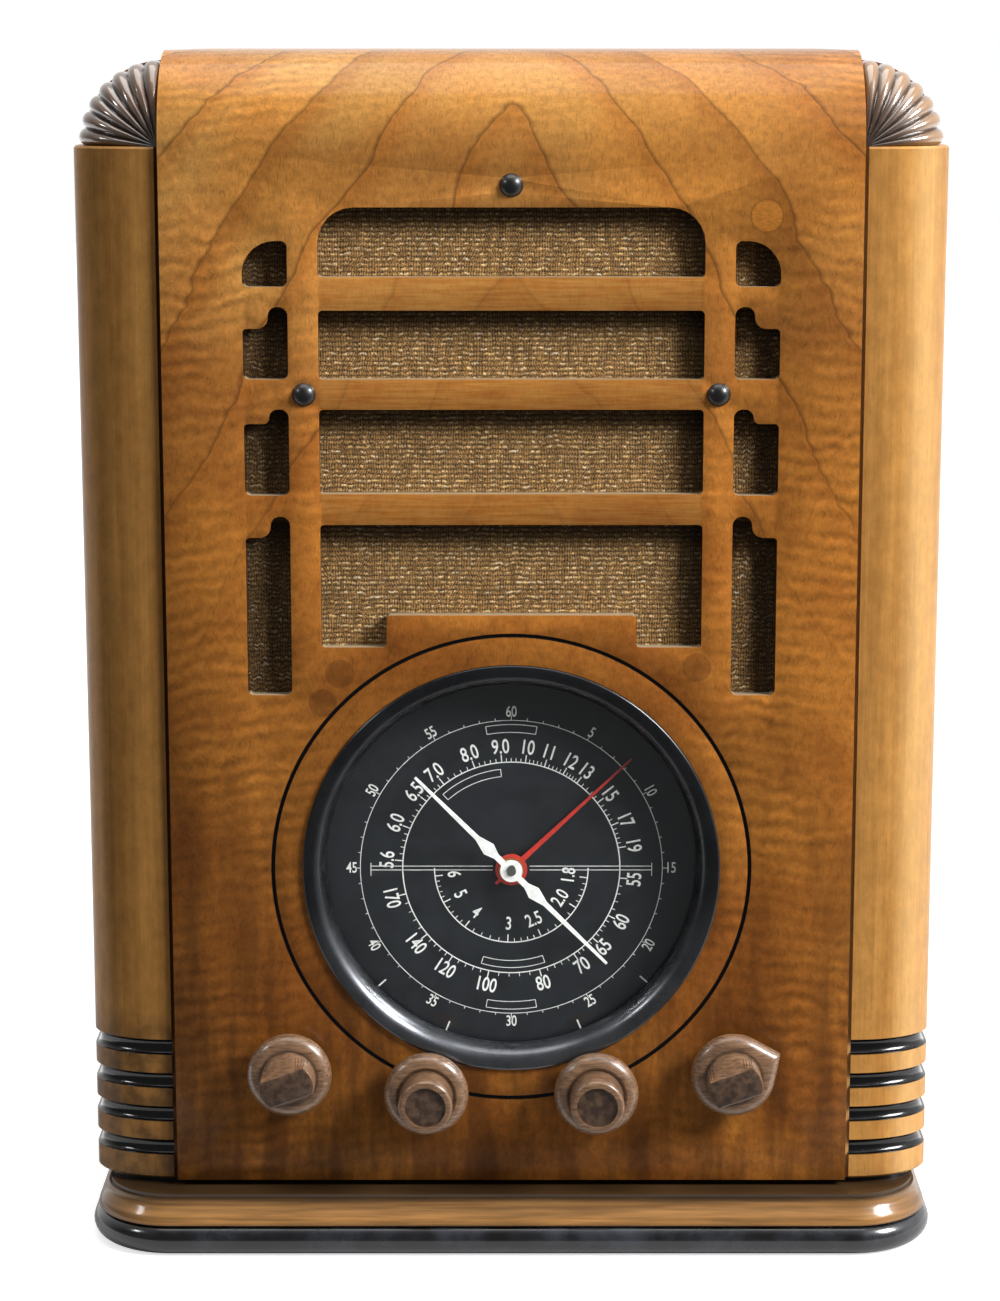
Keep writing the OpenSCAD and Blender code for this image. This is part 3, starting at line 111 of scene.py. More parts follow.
class RadioWoods(PropertyGroup):
    """Colours of the woods and lacquers."""

    amber: colour_property("Amber", "Light ground of the front veneer", 196, 125, 51)
    russet: colour_property("Russet", "Deep ground of the front veneer", 158, 93, 36)
    olive: colour_property("Olive", "Greyer clouds in the front veneer", 188, 138, 72)
    ring_line: colour_property("Ring Line", "Dark lines between the growth rings", 92, 54, 24)
    column: colour_property("Column", "Light ground of the column veneer", 206, 150, 80)
    column_dark: colour_property("Column Dark", "Grain of the column veneer", 178, 124, 62)
    side: colour_property("Side", "Light ground of the side veneer", 144, 92, 44)
    side_dark: colour_property("Side Dark", "Grain of the side veneer", 104, 62, 28)
    carving: colour_property("Carving", "Ridges of the fan caps", 92, 66, 47)
    plinth: colour_property("Plinth", "Ground of the plinth moulding", 163, 117, 66)
    knob: colour_property("Knob", "Ground of the turned knobs", 135, 102, 75)
    lacquer: colour_property("Black Lacquer", "Base and grooves", 10, 10, 11)
    board: colour_property("Raw Board", "Unfinished boards inside", 158, 122, 80)


class RadioCloth(PropertyGroup):
    """Weave of the grille cloth."""

    thread: colour_property("Metal Thread", "Bright weft threads", 255, 212, 132)
    ground: colour_property("Ground", "Brown threads between them", 194, 149, 92)
    gap: colour_property("Gap", "Shade between the threads", 46, 33, 17)
    row_pitch: length_property("Row Pitch", "Distance from bright row to bright row", 1.8 * MM)
    grid: length_property("Mesh Grid", "Size of the cloth's mesh cells", 3 * MM)


class RadioDial(PropertyGroup):
    """Colours and lettering of the dial."""

    plate: colour_property("Plate", "Dial plate", 25, 28, 32)
    ink: colour_property("Ink", "Printed scales and numbers", 248, 248, 243)
    pointer: colour_property("Pointer", "Main pointer", 250, 249, 245)
    second: colour_property("Second Hand", "Second hand", 190, 48, 34)
    bezel: colour_property("Bezel", "Bezel ring", 88, 90, 94)
    number_size: length_property("Number Size", "Height of the station numbers", 7.7 * MM)
    small_size: length_property("Small Number Size", "Height of the outer numbers", 5.8 * MM)
    ink_lift: length_property("Ink Lift", "Distance of the print from the plate", 0.06 * MM)


class RadioWorks(PropertyGroup):
    """Colours of the chassis and what stands on it."""

    steel: colour_property("Plated Steel", "Chassis and brackets", 178, 176, 166)
    aluminium: colour_property("Aluminium", "Cans, shields and condenser plates", 208, 208, 206)
    brass: colour_property("Brass", "Gears and bushings", 202, 164, 92)
    enamel: colour_property("Black Enamel", "Transformers and speaker basket", 22, 22, 23)
    rubber: colour_property("Rubber", "Cushions, belt and grommet", 26, 25, 24)
    bakelite: colour_property("Bakelite", "Tube bases", 30, 20, 16)
    phenolic: colour_property("Phenolic", "Sockets, controls and terminal strip", 104, 64, 34)
    paper: colour_property("Cone Paper", "Speaker cone", 52, 44, 36)


class RadioStudio(PropertyGroup):
    """Camera and light."""

    lens: number_property("Lens", "Focal length of the camera", 88.71, unit="CAMERA")
    camera_away: length_property("Camera Away", "Distance of the camera from the front panel", 1.1615)
    camera_height: length_property("Camera Height", "Height of the camera", 0.452)
    camera_dip: number_property("Camera Dip", "How far it looks down", math.radians(10.8), subtype="ANGLE")
    side_shift: number_property("Side Shift", "Sideways shift of the picture", -0.0087)
    key_power: number_property("Key Light", "Power of the light on the right", 120, unit="POWER")
    fill_power: number_property("Fill Light", "Power of the light on the left", 6, unit="POWER")
    top_power: number_property("Top Light", "Power of the overhead light", 11, unit="POWER")
    ambient: number_property("Ambient", "Strength of the light from all around", 0.6)
    front_share: number_property("Front Share", "Share of it from the camera's side", 0.16)
    floor: colour_property("Floor", "Pale floor", 210, 210, 210)


class Shading:
    """A node tree built by calls, which take outputs or plain values and give outputs."""

    def __init__(self, tree):
        self.tree = tree
        tree.nodes.clear()

    def add(self, kind, **settings):
        node = self.tree.nodes.new(kind)
        for setting, value in settings.items():
            setattr(node, setting, value)
        return node

    def join(self, value, socket):
        """Links an output to the socket, or writes the value on the socket itself."""
        if isinstance(value, bpy.types.NodeSocket):
            self.tree.links.new(value, socket)
        elif socket.type == "RGBA" and len(value) == 3:
            socket.default_value = (*value, 1)
        else:
            socket.default_value = value

    def feed(self, node, **values):
        """Joins values to a node's inputs by name, with underscores for spaces."""
        for name, value in values.items():
            self.join(value, node.inputs[name.replace("_", " ").replace("Ior", "IOR")])
        return node

    def calc(self, operation, *values, clamp=False):
        node = self.add("ShaderNodeMath", operation=operation, use_clamp=clamp)
        for value, socket in zip(values, node.inputs):
            self.join(value, socket)
        return node.outputs[0]

    def times(self, first, *others):
        for other in others:
            first = self.calc("MULTIPLY", first, other)
        return first

    def plus(self, first, second):
        return self.calc("ADD", first, second)

    def minus(self, first, second):
        return self.calc("SUBTRACT", first, second)

    def over(self, first, second):
        return self.calc("DIVIDE", first, second)

    def larger(self, first, second):
        return self.calc("MAXIMUM", first, second)

    def scaled(self, value, factor, offset):
        """The value times a factor, plus an offset."""
        return self.calc("MULTIPLY_ADD", value, factor, offset)

    def fade(self, value, low, high, start=0.0, end=1.0, shape="SMOOTHSTEP"):
        """Runs from start to end as the value goes from low to high."""
        node = self.add("ShaderNodeMapRange", interpolation_type=shape)
        self.feed(node, Value=value, From_Min=low, From_Max=high, To_Min=start, To_Max=end)
        return node.outputs[0]

    def blend(self, share, first, second):
        """A number between two others."""
        return self.feed(self.add("ShaderNodeMix"), Factor=share, A=first, B=second).outputs["Result"]


class Finish(Shading):
    """One procedural material, with the coordinates of the part in millimetres."""

    def __init__(self, name, **sockets):
        self.material = bpy.data.materials.new(name)
        self.material.use_nodes = True
        super().__init__(self.material.node_tree)
        self.shader = self.add("ShaderNodeBsdfPrincipled")
        self.feed(self.add("ShaderNodeOutputMaterial"), Surface=self.shader.outputs["BSDF"])
        metres = self.add("ShaderNodeTexCoord").outputs["Object"]
        scale = self.add("ShaderNodeVectorMath", operation="SCALE")
        self.feed(scale, Vector=metres, Scale=1 / MM)
        self.place = scale.outputs[0]
        self.x, self.y, self.z = self.parts(self.place)
        self.set(**sockets)

    def set(self, **sockets):
        """Sockets of the principled shader, by name."""
        self.feed(self.shader, **sockets)

    def parts(self, vector):
        return self.feed(self.add("ShaderNodeSeparateXYZ"), Vector=vector).outputs

    def vector(self, x=0.0, y=0.0, z=0.0):
        return self.feed(self.add("ShaderNodeCombineXYZ"), X=x, Y=y, Z=z).outputs[0]

    def noise(self, at, scale=1.0, detail=2.0, rough=0.5, warp=0.0):
        node = self.add("ShaderNodeTexNoise")
        self.feed(node, Vector=at, Scale=scale, Detail=detail, Roughness=rough, Distortion=warp)
        return node.outputs[0]

    def grain(self, stretch, detail=2.0, rough=0.5, warp=0.0, at=None):
        """Noise over coordinates, the part's own unless others are given, each scaled by its own factor."""
        node = self.add("ShaderNodeVectorMath", operation="MULTIPLY")
        self.join(self.place if at is None else at, node.inputs[0])
        node.inputs[1].default_value = stretch
        return self.noise(node.outputs[0], 1.0, detail, rough, warp)

    def vary(self, noise, start=0.0, end=1.0):
        """Runs from start to end over the values that a noise mostly has."""
        return self.fade(noise, 0.3, 0.7, start, end)

    def by_side(self, left, right):
        """One value on the left half of the part, another on the right half."""
        return self.fade(self.x, -20.0, 20.0, left, right)

    def sideways(self):
        """Distance from the middle plane, in millimetres."""
        return self.calc("ABSOLUTE", self.x)

    def length(self, first, second):
        return self.calc("SQRT", self.scaled(first, first, self.times(second, second)))

    def reach(self, x, z):
        """Distance from a point on the front, in millimetres."""
        return self.length(self.minus(self.x, x), self.minus(self.z, z))

    def near(self, value, centre, half, soft=0.2):
        """1 where the value lies within half of the centre, with a soft edge."""
        away = self.calc("ABSOLUTE", self.minus(value, centre))
        return self.fade(away, half - soft, half + soft, 1.0, 0.0)

    def disc(self, x, z, radius, soft=0.3):
        """1 inside a circle on the front."""
        return self.fade(self.reach(x, z), radius - soft, radius + soft, 1.0, 0.0)

    def total(self, first, *others):
        """Sum of masks, at most 1."""
        for other in others:
            first = self.calc("ADD", first, other, clamp=True)
        return first

    def mix(self, share, first, second, how="MIX"):
        """A colour between two others."""
        node = self.add("ShaderNodeMix", data_type="RGBA", blend_type=how)
        self.join(share, node.inputs["Factor"])
        colours = [socket for socket in node.inputs if socket.type == "RGBA"]
        self.join(first, colours[0])
        self.join(second, colours[1])
        return next(socket for socket in node.outputs if socket.type == "RGBA")

    def tint(self, colour, factor):
        """The colour made lighter or darker by a factor."""
        grey = self.feed(self.add("ShaderNodeCombineColor"), Red=factor, Green=factor, Blue=factor)
        return self.mix(1.0, colour, grey.outputs[0], "MULTIPLY")

    def normal(self, axis):
        """One part of the surface's direction: 0 for x, 1 for y, 2 for z."""
        return self.parts(self.add("ShaderNodeNewGeometry").outputs["Normal"])[axis]

    def bump(self, height, depth_mm):
        node = self.feed(self.add("ShaderNodeBump"), Distance=depth_mm * MM, Height=height)
        self.set(Normal=node.outputs["Normal"])


# Woods and lacquers

def bare_wood(f, woods, finished, share):
    """The finished wood, left unfinished where the share is 1."""
    grain = f.grain((0.06, 0.3, 0.3), 4.0, 0.6)
    return f.mix(share, finished, f.tint(woods.board, f.vary(grain, 0.5, 0.9)))


# Figure of the front veneer, the heights, widths and depths over which it changes, and those of the painted
# shade and light on it
ARCH_SLOPE = 1.7
ARCH_PITCH_MM = 62
RIPPLE_PITCH_MM = 6.2
RIPPLES_WIDTH_MM = (45.0, 104.0)
RIPPLES_HEIGHT_MM = (340.0, 420.0)
RINGS_HEIGHT_MM = (220.0, 330.0)
RINGS_DEPTH_MM = (20.0, 60.0)
OLIVE_WIDTH_MM = (-40.0, 130.0)
OLIVE_HEIGHT_MM = (270.0, 410.0)
SMOKE_HEIGHT_MM = (70.0, 250.0)
FOOT_SHADE_HEIGHT_MM = (25.0, 130.0)
BODY_SHADE_HEIGHT_MM = (180.0, 420.0)
SIDE_LIGHT_HEIGHT_MM = (120.0, 390.0)
TOP_SHADE_DEPTH_MM = (6.0, 34.0)
CUT_DEPTH_MM = (0.5, 1.1)
COAT_HEIGHT_MM = (36.0, 70.0)

# Marks on it, and where painted light lies round the grille and painted shade on the left: middles and half
# heights, or centres and radii
RAILS_MM = ((361.5, 6.1), (325.0, 5.6), (282.8, 5.8))
RAIL_HALF_MM = 69.6
GRILLE_LIGHT_WIDTH_MM = (78.0, 84.0)
GRILLE_LIGHT_MM = (320.0, 82.0)
LEFT_SHADE_WIDTH_MM = (-100.0, -70.0)
LEFT_SHADE_MM = (250.0, 90.0)
INLAY_MM = (89.0, 0.75)
PLUG_MM = (92.0, 389.5, 5.8)
STAINS_MM = ((-63.4, 221.6, 5.4), (-69.8, 210.6, 5.2), (68.5, 224.0, 5.4))


def ripple_figure(f, flat, run):
    """Level bands across the grain that drift in and out of step, strongest towards the sides."""
    drift = f.grain((0.05, 0.035, 0.0), 2.0, 0.6, at=flat)
    fray = f.grain((0.5, 0.08, 0.0), 3.0, 0.65, at=flat)
    level = f.scaled(f.sideways(), 0.12, run)
    phase = f.scaled(fray, 0.4, f.scaled(drift, 1.9, f.over(level, RIPPLE_PITCH_MM)))
    curl = f.calc("SINE", f.times(phase, 2 * math.pi))
    patches = f.fade(f.noise(flat, 0.018), 0.36, 0.62, 0.2, 1.0)
    broken = f.fade(f.grain((0.09, 0.16, 0.0), at=flat), 0.35, 0.65, 0.25, 1.0)
    outer = f.fade(f.sideways(), *RIPPLES_WIDTH_MM, 0.3, 1.0)
    lower = f.fade(f.z, *RIPPLES_HEIGHT_MM, 1.0, 0.7)
    return f.times(curl, 0.34, patches, outer, lower, broken)


def ring_figure(f, flat, run, sway, ripple):
    """Growth rings as nested arches: the share of its ring that lies behind a point, and the ring's tone."""
    fret = f.scaled(f.noise(flat, 0.035), 10.0, -5.0)
    spread = f.calc("SQRT", f.scaled(f.x, f.x, 14.0))
    arch = f.plus(f.scaled(spread, ARCH_SLOPE, run), f.plus(sway, fret))
    arch = f.over(f.scaled(ripple, 4.0, arch), ARCH_PITCH_MM)
    number = f.calc("FLOOR", arch)
    tone = f.vary(f.noise(f.vector(f.times(number, 7.3)), 1.0, 0.0), 0.92, 1.08)
    return f.minus(arch, number), tone


def front_marks(f, woods, wood):
    """Plain rails between the slots, stains, and a plug of lighter wood."""
    streak = f.grain((0.05, 0.5, 0.9), 3.0, 0.6)
    rail = f.tint(f.mix(f.vary(streak), woods.russet, woods.olive), 0.84)
    rails = f.total(*[f.near(f.z, middle, half) for middle, half in RAILS_MM])
    wood = f.mix(f.times(rails, f.near(f.x, 0.0, RAIL_HALF_MM), 0.6), wood, rail)
    stains = f.total(*[f.disc(*stain) for stain in STAINS_MM])
    wood = f.mix(f.times(stains, 0.4), wood, woods.ring_line)
    grain = f.grain((0.5, 1.0, 1.6))
    plug = f.tint(woods.amber, f.vary(grain, 0.95, 1.35))
    wood = f.mix(f.times(f.disc(*PLUG_MM), 0.85), wood, plug)
    x, z, radius = PLUG_MM
    joint = f.near(f.reach(x, z), radius, 0.3, 0.25)
    return f.mix(f.times(joint, 0.35), wood, woods.ring_line)


def front_shade(f, woods, wood, flat, depth):
    """Darker upright streaks at the foot; painted shade at the foot, on the top and on the left; painted
    light round the slots, and painted light and shade from side to side.
    """
    smoky = f.grain((0.07, 0.011, 0.0), 3.0, 0.6, at=flat)
    smoke = f.times(f.fade(smoky, 0.4, 0.62, 0.05, 0.62), f.fade(f.z, *SMOKE_HEIGHT_MM, 1.0, 0.0))
    wood = f.mix(smoke, wood, woods.ring_line)
    # Painted shade towards the foot and on the top, painted light and shade from side to side, painted light
    # round the slots, painted shade on the left
    foot = f.fade(f.z, *FOOT_SHADE_HEIGHT_MM, 0.66, 1.0)
    body = f.fade(f.z, *BODY_SHADE_HEIGHT_MM, 0.77, 0.98)
    top = f.fade(depth, *TOP_SHADE_DEPTH_MM, 1.0, 0.7)
    lean = f.times(f.fade(f.z, *SIDE_LIGHT_HEIGHT_MM, 0.24, -0.14), f.over(f.x, PANEL_HALF_MM))
    grille = f.times(f.fade(f.sideways(), *GRILLE_LIGHT_WIDTH_MM, 1.0, 0.0), f.near(f.z, *GRILLE_LIGHT_MM, 4.0))
    left = f.times(f.fade(f.x, *LEFT_SHADE_WIDTH_MM, 1.0, 0.0), f.near(f.z, *LEFT_SHADE_MM, 40.0))
    patches = f.times(f.plus(lean, 1.0), f.scaled(grille, 0.2, 1.0), f.scaled(left, -0.14, 1.0))
    return f.tint(wood, f.times(foot, body, top, patches))


def front_edges(f, woods, wood, depth):
    """Bare on the back and under the top, with cut edges inside the slots, painted light on the upward sills
    and painted shade on the other walls, and the inlaid ring.
    """
    above = f.fade(f.z, COLUMN_TOP_MM - 1, COLUMN_TOP_MM)
    under = f.times(f.fade(f.normal(2), -0.9, -0.5, 1.0, 0.0), above)
    wood = bare_wood(f, woods, wood, f.larger(f.fade(f.normal(1), 0.5, 0.9), under))
    inside = f.times(f.fade(depth, *CUT_DEPTH_MM), f.minus(1.0, above))
    # Painted light on the sills that face up, painted shade on the other walls of the slots
    sill_light_and_wall_shade = f.mix(f.fade(f.normal(2), 0.5, 0.8), linear(60, 38, 20), linear(168, 152, 126))
    wood = f.mix(inside, wood, sill_light_and_wall_shade)
    return f.mix(f.near(f.reach(0.0, BEZEL_MM), *INLAY_MM, 0.1), wood, woods.lacquer)


def front_veneer(woods):
    """Amber walnut: rings cut as nested arches, level ripples across the grain, fine pores, plain rails."""
    f = Finish("front_veneer", Coat_Roughness=0.1, Specular_Ior_Level=0.1)
    depth = f.minus(f.y, FACE_MM)
    run = f.plus(f.z, depth)
    flat = f.vector(f.x, run)
    sway = f.scaled(f.noise(flat, 0.012, 3.0), 56.0, -28.0)
    ripple = ripple_figure(f, flat, run)
    ring, ring_tone = ring_figure(f, flat, run, sway, ripple)
    upper = f.fade(f.z, *RINGS_HEIGHT_MM, 0.25, 1.0)
    line = f.times(f.fade(ring, 0.0, 0.06, 1.0, 0.0), upper, f.fade(depth, *RINGS_DEPTH_MM, 1.0, 0.4))
    shade = f.times(f.fade(ring, 0.66, 1.0), upper, 0.5)

    # Ground: amber and russet clouds, olive towards the top
    clouds = f.noise(flat, 0.014, 3.0, 0.6)
    ground = f.mix(f.fade(clouds, 0.35, 0.65), woods.russet, woods.amber)
    olive = f.fade(f.noise(f.vector(run, f.x), 0.019), 0.35, 0.65, 0.45, 1.0)
    olive = f.times(olive, f.fade(f.x, *OLIVE_WIDTH_MM, 1.0, 0.45), f.fade(f.z, *OLIVE_HEIGHT_MM, 0.0, 0.85))
    ground = f.mix(olive, ground, woods.olive)
    ground = f.tint(f.mix(shade, ground, woods.russet), ring_tone)

    # Short dark pores along the grain
    leaning = f.plus(f.scaled(sway, 0.2, f.x), f.times(ripple, 5.0))
    fine = f.grain((1.5, 0.24, 0.0), 3.0, 0.65, 0.5, at=f.vector(leaning, run))
    pores = f.fade(fine, 0.5, 0.7)
    mottle = f.vary(f.noise(flat, 0.3, 4.0, 0.75), 0.82, 1.16)
    wood = f.tint(ground, f.times(f.plus(ripple, f.scaled(pores, -0.3, 1.12)), mottle))
    wood = f.mix(f.times(line, 0.65), wood, woods.ring_line)

    wood = front_marks(f, woods, wood)
    wood = front_shade(f, woods, wood, flat, depth)
    f.set(Base_Color=front_edges(f, woods, wood, depth))
    f.set(Roughness=f.scaled(pores, 0.2, 0.32), Coat_Weight=f.fade(f.z, *COAT_HEIGHT_MM, 0.02, 0.3))
    f.bump(f.scaled(pores, -0.5, f.times(line, -0.5)), 0.03)
    return f.material


COLUMN_CROWN_MM = 151.0
GROOVES_MM = tuple(COLUMN_LOW_MM + 12.3 + 13.2 * step for step in range(4))
GROOVE_HALF_MM = 3.0


def column_veneer(woods):
    """Straight-grained walnut with painted shade on the left column and a painted highlight on the right
    one, and black lacquer in the grooves round the foot.
    """
    f = Finish("column_veneer", Coat_Roughness=0.14, Specular_Ior_Level=0.1)
    grain = f.grain((0.5, 0.5, 0.012), 4.0, 0.6)
    broad = f.grain((0.07, 0.07, 0.006))
    figure = f.scaled(grain, 0.55, f.times(broad, 0.55))
    wood = f.mix(f.fade(figure, 0.34, 0.76), woods.column_dark, woods.column)
    mottle = f.grain((0.16, 0.16, 0.1), 4.0, 0.7)
    # Painted shade: the left column darker than the right one
    wood = f.tint(wood, f.times(f.vary(mottle, 0.84, 1.1), f.by_side(0.75, 0.98)))

    # Painted shade beside the panel and a painted dark reflection on the left column, a painted highlight
    # along the crown and painted shade at the far edge of the right one
    streaks = f.total(f.near(f.x, -COLUMN_CROWN_MM, 2.5, 2.5), f.near(f.x, -PANEL_HALF_MM, 5.0, 3.0))
    far_edge_shade = f.fade(f.x, COLUMN_CROWN_MM, COLUMN_CROWN_MM + 9.0, 1.0, 0.86)
    wood = f.tint(wood, f.times(f.scaled(streaks, -0.24, 1.0), far_edge_shade))
    painted_highlight = f.near(f.x, COLUMN_CROWN_MM, 5.0, 4.5)
    wood = f.mix(f.times(painted_highlight, 0.28), wood, linear(246, 206, 146))
    pores = f.fade(f.grain((2.2, 2.2, 0.12)), 0.58, 0.74)
    wood = f.tint(wood, f.scaled(pores, -0.14, 1.0))

    # Darker mottle round the foot of the left column, lacquer in the grooves, bare at the back
    smoke = f.fade(f.noise(f.place, 0.12, 3.0, 0.6), 0.35, 0.65, 0.35, 0.75)
    foot = f.fade(f.z, GROOVES_MM[-1], GROOVES_MM[-1] + 18.0, 1.0, 0.0)
    wood = f.mix(f.times(foot, smoke, f.by_side(1.0, 0.0)), wood, linear(66, 48, 34))
    grooves = f.total(*[f.near(f.z, middle, GROOVE_HALF_MM, 0.15) for middle in GROOVES_MM])
    wood = f.mix(grooves, wood, woods.lacquer)
    f.set(Base_Color=bare_wood(f, woods, wood, f.fade(f.normal(1), 0.7, 0.95)))
    f.set(Roughness=f.scaled(grooves, -0.18, 0.32), Coat_Weight=f.scaled(grooves, 0.7, 0.12))
    f.bump(f.times(pores, -1.0), 0.02)
    return f.material


def strip_wood():
    """Thin strips between panel and columns: painted shade on the left, painted light on the right."""
    f = Finish("strip_wood", Roughness=0.6, Specular_Ior_Level=0.1)
    grain = f.grain((0.8, 0.8, 0.02), 3.0, 0.6)
    # Painted shade on the left strip, painted light on the right one
    wood = f.mix(f.by_side(0.0, 1.0), linear(106, 68, 38), linear(226, 170, 108))
    f.set(Base_Color=f.tint(wood, f.vary(grain, 0.8, 1.1)))
    return f.material


FAN_LOBES = 7
FAN_POLE_MM = (4.0, 22.0)
FAN_RIM_MM = (14.0, 27.0)


def carved_walnut(woods):
    """Dark carved walnut: near black at the fan's pole and in its valleys, paler at its rim by wear and, on
    the right, by painted light.
    """
    f = Finish("carved_walnut", Coat_Weight=1.0, Coat_Roughness=0.11, Coat_Ior=1.85)
    across = f.minus(f.sideways(), PANEL_HALF_MM)
    up = f.minus(f.z, COLUMN_TOP_MM)
    turn = f.over(f.calc("ARCTAN2", up, across), math.pi / 2)
    lobe = f.calc("FRACT", f.times(turn, FAN_LOBES))
    valley = f.calc("POWER", f.calc("ABSOLUTE", f.scaled(lobe, 2.0, -1.0)), 3.0)
    out = f.length(across, up)
    pole = f.fade(out, *FAN_POLE_MM, 1.0, 0.0)
    dark = f.larger(f.times(valley, 0.9), f.times(pole, 0.8))
    grain = f.grain((0.5, 0.05, 0.5), 3.0, 0.6)
    ridge = f.tint(woods.carving, f.vary(grain, 0.75, 1.15))
    # Paler rim: wear, made stronger on the right fan as painted light
    rim_wear_and_light = f.times(f.by_side(0.15, 0.85), f.fade(out, *FAN_RIM_MM))
    ridge = f.mix(rim_wear_and_light, ridge, linear(158, 116, 72))
    f.set(Base_Color=f.mix(dark, ridge, linear(24, 15, 10)), Roughness=0.34)
    f.bump(grain, 0.03)
    return f.material


def side_veneer(woods):
    """Plain walnut veneer of the sides and the top's edges, with upright grain."""
    f = Finish("side_veneer", Coat_Weight=0.14, Coat_Roughness=0.14, Specular_Ior_Level=0.1)
    sway = f.scaled(f.grain((0.012, 0.012, 0.004)), 30.0, -15.0)
    flat = f.vector(f.plus(f.plus(f.x, f.y), sway), f.z)
    grain = f.grain((0.3, 0.006, 0.0), 5.0, 0.7, at=flat)
    broad = f.grain((0.05, 0.004, 0.0), at=flat)
    figure = f.scaled(grain, 0.6, f.times(broad, 0.4))
    wood = f.mix(f.vary(figure), woods.side_dark, woods.side)
    pores = f.fade(f.grain((2.4, 2.4, 0.12)), 0.58, 0.72)
    wood = f.tint(wood, f.scaled(pores, -0.25, 1.0))
    inward = f.fade(f.times(f.normal(0), f.calc("SIGN", f.x)), -0.8, -0.4, 1.0, 0.0)
    wood = bare_wood(f, woods, wood, f.larger(inward, f.fade(f.normal(1), 0.7, 0.95)))
    f.set(Base_Color=wood, Roughness=0.36)
    f.bump(f.times(pores, -1.0), 0.03)
    return f.material


PLINTH_CORNER_MM = (136.0, 160.0)


def plinth_walnut(woods):
    """Moulded walnut, grain along the run, darker at corners, cove and ledge; painted shade in the crease at
    its foot.
    """
    f = Finish("plinth_walnut", Coat_Weight=0.5, Coat_Roughness=0.12, Specular_Ior_Level=0.25)
    along = f.vector(f.plus(f.x, f.y), f.z, f.y)
    grain = f.grain((0.03, 0.9, 0.05), 4.0, 0.6, at=along)
    streaks = f.grain((0.015, 0.4, 0.0), 3.0, 0.6, at=along)
    figure = f.times(f.fade(grain, 0.28, 0.72, 0.68, 1.12), f.fade(streaks, 0.34, 0.66, 0.72, 1.22))
    wood = f.tint(woods.plinth, figure)
    corner = f.fade(f.sideways(), *PLINTH_CORNER_MM, 0.0, 0.6)
    cove = f.fade(f.z, PLINTH_HIGH_MM - 9.0, PLINTH_HIGH_MM - 3.0, 0.0, 0.4)
    wood = f.mix(f.larger(corner, cove), wood, linear(66, 50, 36))
    ledge = f.fade(f.z, PLINTH_HIGH_MM - 3.2, PLINTH_HIGH_MM - 1.2)
    # Painted shade in the crease where the plinth meets the bullnose
    foot_crease_shade = f.fade(f.z, PLINTH_LOW_MM, PLINTH_LOW_MM + 0.9, 0.7, 0.0)
    wood = f.mix(f.times(f.total(ledge, foot_crease_shade), 0.85), wood, linear(44, 32, 20))
    f.set(Base_Color=wood, Roughness=0.32)
    f.bump(grain, 0.03)
    return f.material


def black_lacquer(woods):
    """Glossy black lacquer, a little orange-peeled and hazed by handling."""
    f = Finish("black_lacquer", Coat_Weight=0.6, Coat_Roughness=0.06)
    haze = f.noise(f.place, 0.05, 4.0, 0.6)
    f.set(Base_Color=f.mix(f.fade(haze, 0.35, 0.8), woods.lacquer, linear(50, 52, 60)))
    f.set(Roughness=f.fade(haze, 0.3, 0.8, 0.2, 0.38))
    f.bump(f.noise(f.place, 0.35), 0.03)
    return f.material


DUST = linear(112, 102, 90)
METAL_DUST = linear(120, 110, 96)


def raw_board(woods):
    """Unfinished softwood board, greyed with dust."""
    f = Finish("raw_board", Roughness=0.8)
    grain = f.grain((0.03, 0.4, 0.5), 4.0, 0.6)
    wood = f.tint(woods.board, f.vary(grain, 0.7, 1.1))
    f.set(Base_Color=f.mix(f.fade(f.noise(f.place, 0.02, 3.0), 0.4, 0.7, 0.0, 0.4), wood, DUST))
    f.bump(grain, 0.12)
    return f.material


# Knobs: radius of the dish in a round one, and radius and depth of the painted shade in the seam round the
# hub
KNOB_DISH_MM = 7.6
KNOB_SEAM_MM = 10.4
KNOB_SEAM_DEPTH_MM = (11.0, 12.6)


def knob_walnut(woods, name, centre, barred):
    """Walnut knob with cross grain, a dark pressed face (bar front or round dish) and painted shade round
    the hub.
    """
    f = Finish(name, Coat_Weight=0.9, Coat_Roughness=0.2)
    grain = f.grain((0.12, 0.7, 1.1), 4.0, 0.7, 0.6)
    wood = f.tint(woods.knob, f.vary(grain, 0.42, 1.3))
    depth = f.minus(f.y, KNOB_FRONT_MM)
    reach = f.reach(centre[0] / MM, centre[2] / MM)
    if barred:
        face = f.fade(depth, 0.15, 0.45, 1.0, 0.0)
    else:
        dish = f.fade(reach, KNOB_DISH_MM - 0.15, KNOB_DISH_MM + 0.1, 1.0, 0.0)
        face = f.times(dish, f.fade(depth, 0.3, 0.8))
    wear = f.noise(f.place, 0.3, 3.0, 0.6)
    dark = f.mix(f.fade(wear, 0.35, 0.7), linear(58, 41, 30), linear(100, 75, 56))
    # Painted shade in the seam round the hub
    seam_shade = f.times(f.near(reach, KNOB_SEAM_MM, 0.7, 0.6), f.fade(depth, *KNOB_SEAM_DEPTH_MM))
    wood = f.mix(f.times(seam_shade, 0.6), wood, linear(30, 19, 12))
    f.set(Base_Color=f.mix(face, wood, dark), Roughness=f.vary(wear, 0.3, 0.46))
    f.bump(grain, 0.05)
    return f.material


# Metals, glass and other finishes

